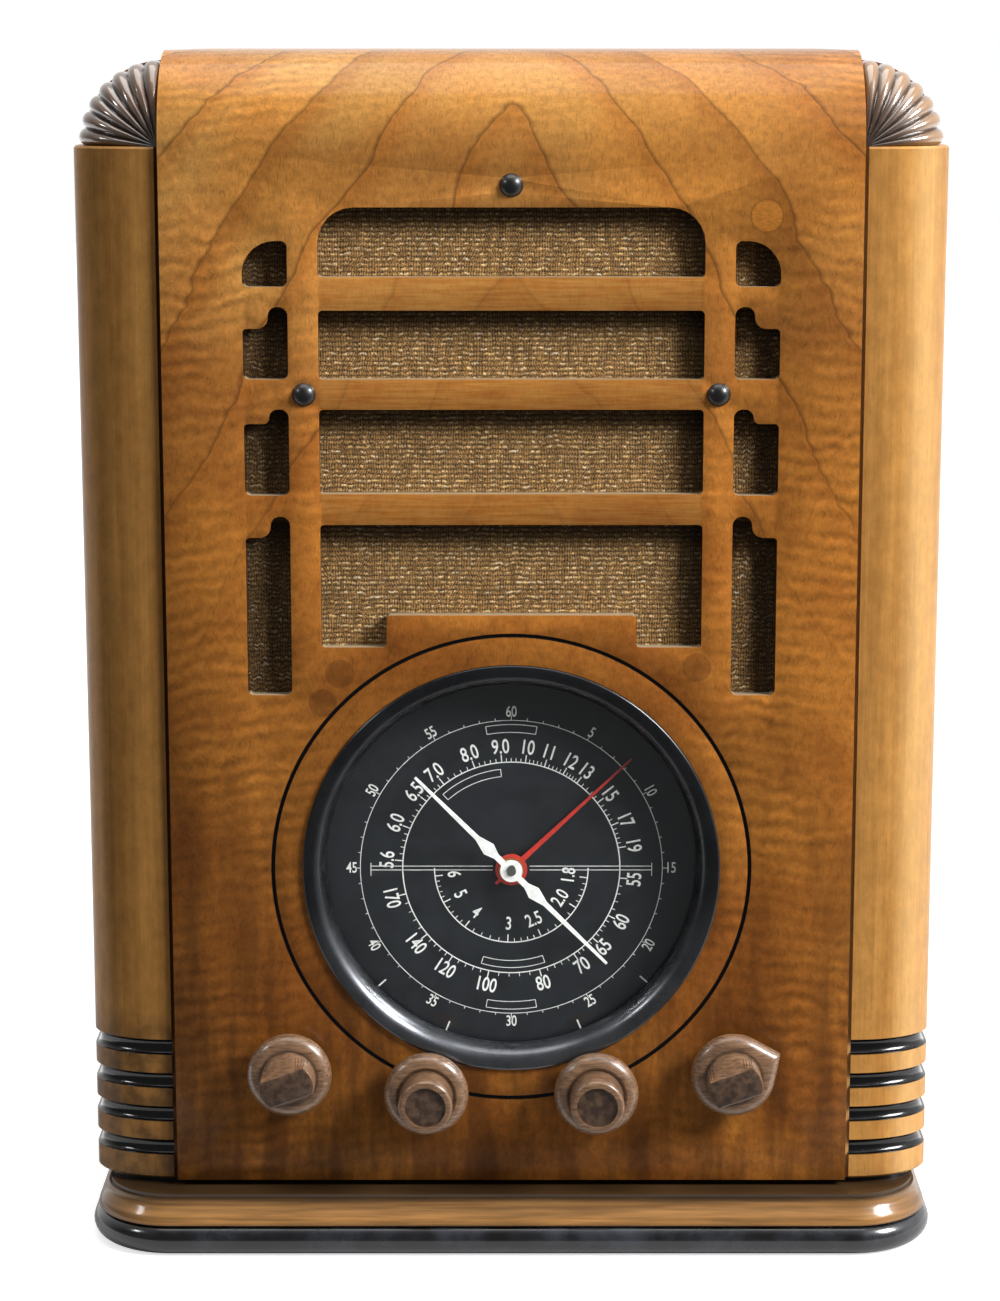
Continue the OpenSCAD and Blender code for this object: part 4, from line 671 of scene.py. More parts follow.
def metal(name, colour, rough, scratch=(1.6, 0.08, 1.6), dust=0.25):
    """Bare or plated metal with fine scratches, stains and a little dust on what faces up."""
    f = Finish(name, Metallic=1.0)
    lines = f.grain(scratch, 4.0, 0.65)
    stain = f.noise(f.place, 0.06, 4.0, 0.65)
    base = f.tint(colour, f.scaled(f.fade(stain, 0.35, 0.75), -0.28, 1.0))
    settled = f.times(f.fade(f.normal(2), 0.3, 0.95, 0.0, dust), f.noise(f.place, 0.2, 3.0))
    f.set(Base_Color=f.mix(settled, base, METAL_DUST))
    f.set(Roughness=f.scaled(lines, 0.22, f.scaled(stain, 0.16, rough - 0.16)))
    f.bump(lines, 0.01)
    return f.material


def painted(name, colour, rough=0.4, coat=0.3, grit=0.9, depth_mm=0.02):
    """Enamel, moulded plastic or rubber: an even colour with fine grit, handling marks and dust."""
    f = Finish(name, Coat_Weight=coat, Coat_Roughness=0.18)
    stain = f.noise(f.place, 0.07, 4.0, 0.6)
    base = f.tint(colour, f.vary(stain, 0.78, 1.15))
    settled = f.times(f.fade(f.normal(2), 0.4, 0.95, 0.0, 0.3), stain)
    f.set(Base_Color=f.mix(settled, base, DUST), Roughness=f.scaled(stain, 0.24, rough - 0.1))
    f.bump(f.noise(f.place, grit), depth_mm)
    return f.material


def laminate(name, colour):
    """Paper laminate: mottled brown with fibres."""
    f = Finish(name, Roughness=0.5, Coat_Weight=0.15, Coat_Roughness=0.3)
    fibre = f.grain((0.5, 2.4, 1.2), 4.0, 0.7)
    f.set(Base_Color=f.tint(colour, f.vary(fibre, 0.65, 1.25)))
    f.bump(fibre, 0.03)
    return f.material


def cone_paper(colour):
    """Felted paper cone with pressed rings and fibres."""
    f = Finish("cone_paper", Roughness=0.92)
    rings = f.calc("SINE", f.times(f.reach(0.0, SPEAKER_MM), 1.4))
    fibre = f.noise(f.place, 0.8, 4.0, 0.75)
    f.set(Base_Color=f.tint(colour, f.vary(fibre, 0.7, 1.25)))
    f.bump(f.scaled(rings, 0.5, fibre), 0.2)
    return f.material


def clear_glass(name, tint, rough=0.0, shine=0.5):
    """Thin clear glass with faint smears."""
    f = Finish(name, Base_Color=tint, Transmission_Weight=1.0, Ior=1.45, Specular_Ior_Level=shine)
    smear = f.noise(f.place, 0.04, 4.0, 0.6)
    f.set(Roughness=f.fade(smear, 0.5, 0.85, rough, rough + 0.04))
    return f.material


def tube_glass():
    """Thin bulb glass, silvered by the getter near its crown; what lies behind shows almost unbent."""
    f = Finish("tube_glass", Ior=1.03, Coat_Weight=1.0, Coat_Roughness=0.02)
    crown = TUBE_CROWN / MM
    ragged = f.scaled(f.noise(f.place, 0.09, 3.0), 14.0, f.z)
    mirror = f.fade(ragged, crown - 22.0, crown - 4.0)
    f.set(Base_Color=f.mix(mirror, linear(214, 216, 212), linear(70, 68, 66)))
    f.set(Metallic=f.times(mirror, 0.9), Transmission_Weight=f.minus(1.0, mirror))
    f.set(Roughness=f.fade(f.noise(f.place, 0.05, 3.0), 0.4, 0.8, 0.02, 0.12))
    return f.material


def dial_paint(dial):
    """Matt black dial plate, faintly mottled."""
    f = Finish("dial_paint", Specular_Ior_Level=0.25)
    mottle = f.noise(f.place, 0.12, 4.0, 0.6)
    f.set(Base_Color=f.tint(dial.plate, f.vary(mottle, 0.8, 1.3)), Roughness=f.vary(mottle, 0.42, 0.58))
    return f.material


def dial_ink(name, colour, rough=0.55):
    """Printed ink or pointer paint, a little uneven."""
    f = Finish(name)
    wear = f.noise(f.place, 0.5, 3.0, 0.6)
    f.set(Base_Color=f.tint(colour, f.fade(wear, 0.3, 0.75, 1.0, 0.78)))
    f.set(Roughness=f.vary(wear, rough - 0.1, rough + 0.1))
    return f.material


def bezel_metal(dial):
    """Dark bronzed ring, glossy, with painted light towards the bottom and painted shade towards the top."""
    f = Finish("bezel_metal", Metallic=0.9, Coat_Weight=0.3, Coat_Roughness=0.1)
    spun = f.noise(f.vector(f.times(f.reach(0.0, BEZEL_MM), 3.0)), 1.0, 3.0, 0.6)
    stain = f.noise(f.place, 0.05, 4.0, 0.6)
    # Painted light towards the bottom of the ring and painted shade towards its top
    lower_light_top_shade = f.fade(f.z, BEZEL_MM - 60.0, BEZEL_MM, 1.2, 0.4)
    f.set(Base_Color=f.tint(dial.bezel, f.times(lower_light_top_shade, f.vary(stain, 0.8, 1.25))))
    f.set(Roughness=f.scaled(spun, 0.08, f.scaled(stain, 0.08, 0.2)))
    return f.material


# Slots and side windows as the cloth's painted shade knows them
SLOT_TOPS_MM = (392.5, 355.5, 319.5, 277.2)
SLOT_SHADE_MM = 13.0
SLOT_END_MM = (54.0, 70.0)
WINDOW_START_MM = (70.0, 76.0)
LEFT_WINDOW_MM = (-78.0, -72.0)
RIGHT_WINDOW_MM = (73.0, 76.0)
RIGHT_WINDOW_FAR_MM = (84.0, 93.0)

# Threads of the cloth: their pitch, and middle, half height and softness of two bands as shares of a row
WARP_PITCH_MM = 0.95
SEAM_BAND = (0.06, 0.07, 0.06)
FLOAT_BAND = (0.56, 0.17, 0.13)


def cloth_shade(f):
    """Painted shade: dimmer under the top edges of the slots and at their right ends, darkest in the side
    windows.
    """
    shade = f.fade(f.x, *LEFT_WINDOW_MM, 0.4, 1.0)
    right_end = f.fade(f.x, *SLOT_END_MM, 1.0, 0.3)
    right_window = f.times(f.fade(f.x, *RIGHT_WINDOW_MM), f.fade(f.x, *RIGHT_WINDOW_FAR_MM, 0.75, 0.25))
    shade = f.times(shade, f.larger(right_end, right_window))
    for top in SLOT_TOPS_MM:
        below = f.minus(top, f.z)
        above = f.calc("LESS_THAN", below, 0.0)
        shade = f.times(shade, f.larger(above, f.fade(below, 0.0, SLOT_SHADE_MM, 0.34, 1.0)))
    return shade


def woven_cloth(cloth):
    """Golden brown cloth: wavering rows of twisted threads with dark seams and bright floats."""
    f = Finish("woven_cloth", Specular_Ior_Level=0.25)
    wave = f.scaled(f.grain((0.09, 0.0, 0.03), 3.0, 0.6), 1.8, -0.9)
    stray = f.scaled(f.grain((0.38, 0.0, 0.16)), 1.7, -0.85)
    stray = f.times(stray, f.fade(f.sideways(), *WINDOW_START_MM, 1.0, 2.4))
    row = f.over(f.plus(f.z, f.plus(wave, stray)), cloth.row_pitch / MM)
    number = f.calc("FLOOR", row)
    part = f.minus(row, number)
    in_row = f.vector(f.x, number)

    # Ground: twisted threads that lean across the row, speckled
    twist = f.scaled(f.grain((0.08, 0.0, 0.1)), 6.0, -3.0)
    leaning = f.plus(f.x, f.times(part, twist))
    warp = f.calc("SINE", f.times(leaning, 2 * math.pi / WARP_PITCH_MM))
    swell = f.calc("SINE", f.times(part, math.pi))
    speckle = f.grain((1.3, 1.0, 2.6), 3.0, 0.75)
    threads = f.scaled(warp, 0.1, f.scaled(swell, 0.15, speckle))
    ground = f.mix(f.fade(threads, 0.34, 0.86), cloth.gap, cloth.ground)
    broken = f.fade(f.grain((0.1, 5.1, 0.0), at=in_row), 0.4, 0.55)
    seam = f.times(f.near(part, *SEAM_BAND), broken)
    ground = f.mix(f.times(seam, 0.5), ground, cloth.gap)

    # Floats: short bright dashes in each row, with painted glints
    dashes = f.grain((0.46, 3.7, 0.0), 3.0, 0.75, at=in_row)
    lift = f.scaled(speckle, 0.3, f.times(dashes, 0.7))
    floats = f.times(f.fade(lift, 0.5, 0.59), f.near(part, *FLOAT_BAND))
    painted_glint = f.fade(f.grain((0.75, 1.0, 1.2), 1.0), 0.46, 0.6)
    thread = f.mix(painted_glint, cloth.thread, linear(255, 244, 214))
    # Painted light and shade of creases across the flat cloth
    crease_light_and_shade = f.fade(f.grain((0.42, 0.0, 0.11)), 0.36, 0.64, 0.82, 1.22)
    colour = f.tint(f.mix(floats, ground, thread), crease_light_and_shade)
    f.set(Base_Color=f.tint(colour, cloth_shade(f)), Metallic=f.times(floats, 0.12))
    f.set(Roughness=f.fade(floats, 0.0, 1.0, 0.7, 0.34))
    f.bump(f.scaled(floats, 0.6, f.times(threads, 0.5)), 0.3)
    return f.material


# Mesh helpers

SMOOTH_ANGLE = math.radians(28)
BEVEL_ANGLE = math.radians(40)
WELD_DISTANCE = 0.002 * MM


def soften(piece, bevel_mm=0.0):
    """Smooth shading over round faces with crisp edges, and a small bevel where one is asked for."""
    piece.data.polygons.foreach_set("use_smooth", [True] * len(piece.data.polygons))
    weld = piece.modifiers.new("weld", "WELD")
    weld.merge_threshold = WELD_DISTANCE
    if bevel_mm:
        bevel = piece.modifiers.new("bevel", "BEVEL")
        bevel.width = bevel_mm * MM
        bevel.segments = 2
        bevel.limit_method = "ANGLE"
        bevel.angle_limit = BEVEL_ANGLE
    split = piece.modifiers.new("crisp_edges", "EDGE_SPLIT")
    split.split_angle = SMOOTH_ANGLE
    split.use_edge_sharp = False


def dress(material, *names, bevel_mm=0.0):
    """Gives CAD pieces their finish."""
    for name in names:
        piece = frame["nodes"][name]
        piece.data.materials.clear()
        piece.data.materials.append(material)
        soften(piece, bevel_mm)


def glaze(material, *names):
    """Gives CAD pieces a clear glass that casts no shadow on what is behind it."""
    dress(material, *names)
    for name in names:
        frame["nodes"][name].visible_shadow = False


def mesh_of(name, build):
    """A mesh filled by the given function."""
    made = bmesh.new()
    build(made)
    mesh = bpy.data.meshes.new(name)
    made.to_mesh(mesh)
    made.free()
    return mesh


def new_piece(name, build, material, body):
    """A piece of the scene, filled by the given function, that rides on a body."""
    mesh = mesh_of(name, build)
    mesh.materials.append(material)
    piece = bpy.data.objects.new(name, mesh)
    bpy.context.scene.collection.objects.link(piece)
    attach(piece, body)
    return piece


def add_rings(made, rings):
    """Joins rings of points into a closed skin with flat ends."""
    rings = [[made.verts.new(point) for point in ring] for ring in rings]
    for low, high in zip(rings, rings[1:]):
        for step in range(len(low)):
            following = (step + 1) % len(low)
            made.faces.new((low[step], low[following], high[following], high[step]))
    made.faces.new(rings[0][::-1])
    made.faces.new(rings[-1])


def add_turned(made, axis, profile, steps=24):
    """A closed form turned about an upright axis, from (radius, height) pairs in mm above a tube's foot."""
    rings = []
    for radius, height in profile:
        turns = [2 * math.pi * step / steps for step in range(steps)]
        ring = [axis + Vector((math.cos(turn), math.sin(turn))) * radius * MM for turn in turns]
        rings.append([(point.x, point.y, TUBE_FOOT + height * MM) for point in ring])
    add_rings(made, rings)


def add_upright(made, axis, plan, low, high):
    """A prism about an upright axis, from its plan and its ends in millimetres above a tube's foot."""
    outline = [axis + point * MM for point in plan]
    add_rings(made, [[(point.x, point.y, TUBE_FOOT + end * MM) for point in outline] for end in (low, high)])


# Inside of a tube, in millimetres from its axis and above the foot of its glass
ANODE_MM = (22, 50)
ANODE_HALF_MM = (7.4, 4.6)
ANODE_STEPS = 12
FIN_MM = (12.4, 0.3)
BANDS_MM = (28, 36, 44)
BAND_TALL_MM = 1.2
BAND_WIDER = (1.04, 1.1)
RODS_MM = ((-11.2, 0), (11.2, 0), (-3.4, 4.2), (3.4, -4.2))
ROD_PROFILE_MM = ((0.55, 9), (0.55, 55))
CUP_PROFILE_MM = ((3.2, 57), (4.4, 57.4), (4.4, 58.6), (3.2, 58.2))
MICAS_MM = ((13.4, 20.5), (12.6, 52))
STEM_PROFILE_MM = ((9.4, 0.5), (8.6, 4), (6.2, 9), (5.6, 14), (5.2, 15.5))
BULB_SPACE = 20 * MM


def bulb_axes():
    """The axis of each glass tube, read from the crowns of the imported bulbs."""
    axes = []
    for vert in frame["nodes"]["glass_tubes"].data.vertices:
        at_crown = vert.co.z >= TUBE_CROWN - 0.05 * MM
        if at_crown and all((axis - vert.co.xy).length >= BULB_SPACE for axis in axes):
            axes.append(vert.co.xy.copy())
    return axes


def build_anodes(made):
    """Blackened anode boxes with fins and bands, their rods and the getter cups."""
    wide, deep = ANODE_HALF_MM
    fin, thin = FIN_MM
    turns = [math.pi * step / ANODE_STEPS for step in range(ANODE_STEPS + 1)]
    half = [Vector((wide * math.cos(turn), deep * math.sin(turn))) for turn in turns]
    right_fin = [Vector((fin, -thin)), Vector((fin, thin))]
    plan = [*right_fin, *half, *[-point for point in right_fin], *[-point for point in half]]
    band_plan = [Vector((point.x * BAND_WIDER[0], point.y * BAND_WIDER[1])) for point in plan]
    for axis in bulb_axes():
        add_upright(made, axis, plan, *ANODE_MM)
        for band in BANDS_MM:
            add_upright(made, axis, band_plan, band, band + BAND_TALL_MM)
        for rod in RODS_MM:
            add_turned(made, axis + Vector(rod) * MM, ROD_PROFILE_MM, 10)
        add_turned(made, axis, CUP_PROFILE_MM)


def build_micas(made):
    """Mica discs that hold the anodes."""
    for axis in bulb_axes():
        for radius, level in MICAS_MM:
            profile = ((radius - 0.4, level), (radius, level + 0.25), (radius - 0.4, level + 0.5))
            add_turned(made, axis, profile)


def build_stems(made):
    """Pressed glass stems that carry the rods."""
    for axis in bulb_axes():
        add_turned(made, axis, STEM_PROFILE_MM)


# Dial print: each number of a scale with its angle above the right-hand horizontal
UPPER_SCALE = (
    ("5.6", 176), ("6.0", 158), ("6.5", 141), ("7.0", 128), ("8.0", 109.5), ("9.0", 95), ("10", 82.6),
    ("11", 72.4), ("12", 61.8), ("13", 53.2), ("15", 38), ("17", 23.7), ("19", 11),
)
LOWER_SCALE = (
    ("55", -5.4), ("60", -26.8), ("65", -41.5), ("70", -54.8), ("80", -74.9), ("100", -102), ("120", -122.9),
    ("140", -141), ("170", -165.8),
)
INNER_SCALE = (
    ("1.8", -7.6), ("2.0", -32.3), ("2.5", -67), ("3", -92.7), ("4", -127.5), ("5", -152.3), ("6", -173.8),
)
OUTER_R, MAIN_R, INNER_R = 57 * MM, 41 * MM, 29 * MM
NUMBER_R, SMALL_R, INNER_NUMBER_R = 46.8 * MM, 60.2 * MM, 21.9 * MM
FINE, LIGHT, STRONG = 0.26 * MM, 0.42 * MM, 0.6 * MM
LONG_TICK, SHORT_TICK, TICK_PARTS = 3.0 * MM, 1.5 * MM, 5
LONG_SECOND, SHORT_SECOND = 1.9 * MM, 1.0 * MM
BASE_START, BASE_END, BASE_HALF = 7 * MM, 53 * MM, 0.75 * MM
BASE_STOP_LOW, BASE_STOP_HIGH = -3 * MM, 2 * MM
CONTROL_MARKS = (-137.5, -111.3, -67.2, -40.9)
CONTROL_START, CONTROL_END = 64.6 * MM, 68.4 * MM
PLAIN_FRAMES_MM = (
    (36.2, 39.0, -107, -71), (35.6, 38.4, 96, 132), (52.4, 55.4, 80, 100), (52.4, 55.4, -100, -80),
)
ARC_STEP = 3
NARROWED = 0.72
STROKE_GAIN = 0.012
INNER_NUMBER_SHARE = 0.92


def polar(radius, degrees):
    """A point on the dial, in metres from its centre."""
    return Vector((radius * math.cos(math.radians(degrees)), radius * math.sin(math.radians(degrees))))


def on_dial(point, lift):
    """A dial point as a place in front of the plate."""
    return Vector((point.x, PLATE_LOW.y - lift, DIAL_Z + point.y))


def add_arc(made, radius, width, start, end, lift):
    """A thin printed arc from one angle to another."""
    steps = max(2, int(abs(end - start) / ARC_STEP))
    rows = []
    for step in range(steps + 1):
        angle = start + (end - start) * step / steps
        edges = [polar(radius + side * width / 2, angle) for side in (-1, 1)]
        rows.append([made.verts.new(on_dial(edge, lift)) for edge in edges])
    for (a, b), (c, d) in zip(rows, rows[1:]):
        made.faces.new((a, b, d, c))


def add_bar(made, start, end, width, lift):
    """A thin printed bar from point to point."""
    along = (end - start).normalized()
    side = Vector((-along.y, along.x)) * width / 2
    corners = (start - side, end - side, end + side, start + side)
    made.faces.new([made.verts.new(on_dial(corner, lift)) for corner in corners])


def add_spoke(made, angle, start, end, width, lift):
    """A thin printed bar that points to the dial's centre, from radius to radius."""
    add_bar(made, polar(start, angle), polar(end, angle), width, lift)


def add_ticks(made, scale, radius, way, lift):
    """Ticks of a scale, outward or inward: long at its numbers, with short ones dividing each step."""
    for (_, first), (_, last) in zip(scale, scale[1:]):
        for part in range(TICK_PARTS):
            angle = first + (last - first) * part / TICK_PARTS
            reach, width = (SHORT_TICK, FINE) if part else (LONG_TICK, LIGHT)
            add_spoke(made, angle, radius, radius + way * reach, width, lift)
    add_spoke(made, scale[-1][1], radius, radius + way * LONG_TICK, LIGHT, lift)


def add_scales(made, lift):
    """Circles, ticks, base line and plain frames of the dial."""
    add_arc(made, OUTER_R, FINE, 0, 360, lift)
    add_arc(made, MAIN_R, LIGHT, 0, 360, lift)
    add_arc(made, INNER_R, LIGHT, -180, 0, lift)
    for second in range(60):
        reach = SHORT_SECOND if second % 5 else LONG_SECOND
        add_spoke(made, 90 - 6 * second, OUTER_R, OUTER_R + reach, FINE, lift)
    add_ticks(made, UPPER_SCALE, MAIN_R, 1, lift)
    add_ticks(made, LOWER_SCALE, MAIN_R, 1, lift)
    add_ticks(made, INNER_SCALE, INNER_R, -1, lift)
    for height in (-BASE_HALF, BASE_HALF):
        for way in (-1, 1):
            add_bar(made, Vector((way * BASE_START, height)), Vector((way * BASE_END, height)), FINE, lift)
    for way in (-1, 1):
        foot, head = [Vector((way * BASE_END, height)) for height in (BASE_STOP_LOW, BASE_STOP_HIGH)]
        add_bar(made, foot, head, FINE, lift)
    for angle in CONTROL_MARKS:
        add_spoke(made, angle, CONTROL_START, CONTROL_END, STRONG, lift)
    for low, high, start, end in PLAIN_FRAMES_MM:
        add_arc(made, low * MM, FINE, start, end, lift)
        add_arc(made, high * MM, FINE, start, end, lift)
        for angle in (start, end):
            add_spoke(made, angle, low * MM, high * MM, FINE, lift)


def add_number(made, text, radius, degrees, size, lean, lift):
    """A printed number that leans by an angle from upright."""
    curve = bpy.data.curves.new("number", "FONT")
    curve.body = text
    curve.size = size
    curve.offset = size * STROKE_GAIN
    curve.align_x = "CENTER"
    curve.align_y = "CENTER"
    letter = bpy.data.objects.new("number", curve)
    mesh = letter.to_mesh()
    turn = Matrix.Rotation(math.radians(lean), 2)
    centre = polar(radius, degrees)
    points = [turn @ Vector((v.co.x * NARROWED, v.co.y)) + centre for v in mesh.vertices]
    verts = [made.verts.new(on_dial(point, lift)) for point in points]
    for face in mesh.polygons:
        made.faces.new([verts[index] for index in face.vertices])
    letter.to_mesh_clear()
    bpy.data.objects.remove(letter)
    bpy.data.curves.remove(curve)


def add_numbers(made, dial):
    """Numbers of the dial: heads outward in the upper half, inward in the lower, upright at its sides."""
    lift = dial.ink_lift
    for text, angle in UPPER_SCALE:
        add_number(made, text, NUMBER_R, angle, dial.number_size, angle - 90, lift)
    for text, angle in LOWER_SCALE:
        add_number(made, text, NUMBER_R, angle, dial.number_size, angle + 90, lift)
    inner_size = dial.number_size * INNER_NUMBER_SHARE
    for text, angle in INNER_SCALE:
        add_number(made, text, INNER_NUMBER_R, angle, inner_size, angle + 90, lift)
    for second in range(5, 65, 5):
        angle = 90 - 6 * second
        if second in (15, 45):
            lean = 0.0
        elif math.sin(math.radians(angle)) > 0:
            lean = angle - 90
        else:
            lean = angle + 90
        add_number(made, str(second), SMALL_R, angle, dial.small_size, lean, lift)


CUT_GAP = 2 * MM


def add_weave(made, cell):
    """The cloth as a flat grid of cells, cut round the dial housing."""
    wide = CLOTH_HIGH.x - CLOTH_LOW.x
    tall = CLOTH_HIGH.z - CLOTH_LOW.z
    middle = (CLOTH_LOW.y + CLOTH_HIGH.y) / 2
    centre = Vector((0, DIAL_Z))
    cut_r = HOUSING_R + CUT_GAP
    columns = round(wide / cell)
    rows = round(tall / cell)
    grid = {}
    for i in range(columns + 1):
        for j in range(rows + 1):
            point = Vector((CLOTH_LOW.x + wide * i / columns, CLOTH_LOW.z + tall * j / rows))
            away = point - centre
            if away.length < cut_r + cell * 0.5:
                point = centre + away.normalized() * cut_r
            inside = away.length < cut_r - cell * 0.5
            grid[i, j] = None if inside else made.verts.new((point.x, middle, point.y))
    for i in range(columns):
        for j in range(rows):
            corners = [grid[i, j], grid[i + 1, j], grid[i + 1, j + 1], grid[i, j + 1]]
            if None not in corners:
                made.faces.new(corners)


# Operators, one for each group of pieces

class RADIO_OT_cabinet(Operator):
    """Veneer the front, the top and the sides"""

    bl_idname = "radio.cabinet"
    bl_label = "Cabinet"

    def execute(self, context):
        woods = context.scene.radio_woods
        veneer = front_veneer(woods)
        dress(veneer, "front_panel", bevel_mm=0.35)
        dress(veneer, "top_panel")
        dress(side_veneer(woods), "side_left", "side_right")
        dress(raw_board(woods), "speaker_baffle")
        return {"FINISHED"}


class RADIO_OT_columns(Operator):
    """Finish the grooved columns, the fan caps and the strips beside them"""

    bl_idname = "radio.columns"
    bl_label = "Columns and Fan Caps"

    def execute(self, context):
        woods = context.scene.radio_woods
        dress(column_veneer(woods), "column_left", "column_right")
        dress(carved_walnut(woods), "fan_left", "fan_right")
        dress(strip_wood(), "edge_strips")
        return {"FINISHED"}


class RADIO_OT_base(Operator):
    """Finish the black base, the plinth moulding and the cabinet's floor"""

    bl_idname = "radio.base"
    bl_label = "Base"

    def execute(self, context):
        woods = context.scene.radio_woods
        dress(black_lacquer(woods), "base_board", "cabinet_floor")
        dress(plinth_walnut(woods), "plinth_moulding")
        return {"FINISHED"}


class RADIO_OT_grille(Operator):
    """Stretch the woven cloth behind the slots"""

    bl_idname = "radio.grille"
    bl_label = "Grille Cloth"

    def execute(self, context):
        cloth = context.scene.radio_cloth
        weave = woven_cloth(cloth)
        piece = new_piece(
            "grille_weave", lambda made: add_weave(made, cloth.grid), weave, "cabinet"
        )
        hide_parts("grille_cloth")
        return {"FINISHED"}


class RADIO_OT_dial(Operator):
    """Finish the bezel, glass, plate and pointers, and print the scales"""

    bl_idname = "radio.dial"
    bl_label = "Dial"

    def execute(self, context):
        dial = context.scene.radio_dial
        dress(bezel_metal(dial), "dial_bezel")
        frame["nodes"]["dial_bezel"].visible_diffuse = False
        glaze(clear_glass("dial_glass", linear(250, 252, 252), shine=0.35), "dial_glass")
        dress(dial_paint(dial), "dial_plate")
        dress(dial_ink("pointer_white", dial.pointer, rough=0.45), "main_pointer")
        dress(dial_ink("pointer_red", dial.second, rough=0.45), "second_hand")
        ink = dial_ink("dial_ink", dial.ink)
        prints = {
            "dial_scales": lambda made: add_scales(made, dial.ink_lift),
            "dial_numbers": lambda made: add_numbers(made, dial),
        }
        for name, build in prints.items():
            new_piece(name, build, ink, "cabinet")
        return {"FINISHED"}


class RADIO_OT_knobs(Operator):
    """Finish the four knobs"""

    bl_idname = "radio.knobs"
    bl_label = "Knobs"

    def execute(self, context):
        woods = context.scene.radio_woods
        for control, barred in (("tone", True), ("volume", False), ("tuning", False), ("band", True)):
            knob = f"{control}_knob"
            dress(knob_walnut(woods, knob, JOINT_PLACES[f"{control}_body"], barred), knob)
        return {"FINISHED"}


class RADIO_OT_speaker(Operator):
    """Finish the speaker, its bolts and its transformer"""

    bl_idname = "radio.speaker"
    bl_label = "Speaker"

    def execute(self, context):
        works = context.scene.radio_works
        enamel = painted("speaker_enamel", works.enamel, coat=0.4)
        dress(enamel, "speaker_basket", "speaker_magnet", "output_transformer")
        dress(painted("bolt_enamel", linear(9, 9, 10), rough=0.36, coat=0.5), "speaker_bolts")
        dress(cone_paper(works.paper), "speaker_cone")
        return {"FINISHED"}


class RADIO_OT_chassis(Operator):
    """Finish the chassis, its fittings and the controls"""

    bl_idname = "radio.chassis"
    bl_label = "Chassis"

    def execute(self, context):
        works = context.scene.radio_works
        plated = metal("plated_steel", works.steel, rough=0.4)
        dress(plated, "chassis_pan", "chassis_bolts", "condenser_frame", "control_nuts")
        dress(plated, "dial_housing", "dial_bracket")
        turned = metal("turned_steel", works.steel, rough=0.3, scratch=(0.08, 2.0, 0.08), dust=0.0)
        dress(turned, "tone_shaft", "volume_shaft", "tuning_shaft", "band_shaft", "condenser_shaft")
        dress(painted("transformer_enamel", works.enamel, rough=0.45), "power_transformer")
        rubber = painted("rubber", works.rubber, rough=0.75, coat=0.0, grit=1.5, depth_mm=0.05)
        dress(rubber, "rubber_mounts", "cord_grommet", "drive_belt")
        phenolic = laminate("phenolic", works.phenolic)
        dress(phenolic, "tube_sockets", "tone_control", "volume_control", "band_switch", "terminal_strip")
        return {"FINISHED"}


class RADIO_OT_condenser(Operator):
    """Finish the tuning condenser, its drum and the dial's gears"""

    bl_idname = "radio.condenser"
    bl_label = "Condenser and Gears"

    def execute(self, context):
        works = context.scene.radio_works
        dress(metal("aluminium", works.aluminium, rough=0.36), "stator_plates", "rotor_plates", "drive_drum")
        brass = metal("brass", works.brass, rough=0.3)
        dress(brass, "main_gear", "second_sleeve", "idler_gear", "tuning_bushing")
        return {"FINISHED"}


class RADIO_OT_tubes(Operator):
    """Finish the tubes, shields, cans and lamps"""

    bl_idname = "radio.tubes"
    bl_label = "Tubes and Cans"

    def execute(self, context):
        works = context.scene.radio_works
        dress(painted("bakelite", works.bakelite, rough=0.3, coat=0.6), "tube_bases")
        glaze(tube_glass(), "glass_tubes")
        nickel = metal("blackened_nickel", linear(74, 74, 76), rough=0.5, scratch=(0.8, 0.8, 2.4), dust=0.0)
        soften(new_piece("tube_anodes", build_anodes, nickel, "cabinet"))
        mica = laminate("mica", linear(206, 196, 170))
        soften(new_piece("tube_micas", build_micas, mica, "cabinet"))
        glass = clear_glass("stem_glass", linear(212, 216, 214), rough=0.08)
        stems = new_piece("tube_stems", build_stems, glass, "cabinet")
        stems.visible_shadow = False
        soften(stems)
        drawn = metal("drawn_aluminium", works.aluminium, rough=0.34, scratch=(1.2, 1.2, 0.08))
        dress(drawn, "tube_shields", "chassis_cans")
        glaze(clear_glass("lamp_glass", linear(252, 240, 206), rough=0.02), "pilot_lamps")
        return {"FINISHED"}


# Studio: size, place and target of each light, the brighter side of the world, and the floor
LIGHTS = {
    "key": (1.0, (2.1, -1.1, 1.8), (0.0, -0.08, 0.3)),
    "fill": (0.28, (-1.6, -0.85, 1.35), (0.0, -0.08, 0.35)),
    "top": (1.2, (0.0, 0.0, 1.6), (0.0, 0.0, 0.3)),
}
SENSOR_WIDTH_MM = 36
BRIGHT_SIDE = (0.45, 0.86, 0.25)
BRIGHT_TURN = (-0.45, 0.35)
FLOOR_FRONT, FLOOR_BACK, FLOOR_SIDE = -0.168, 6.0, 5.0
FLOOR_REFLECTED_SHADOW_MM = (170.0, 480.0)
FLOOR_GLOW_MM = (250.0, 1200.0)


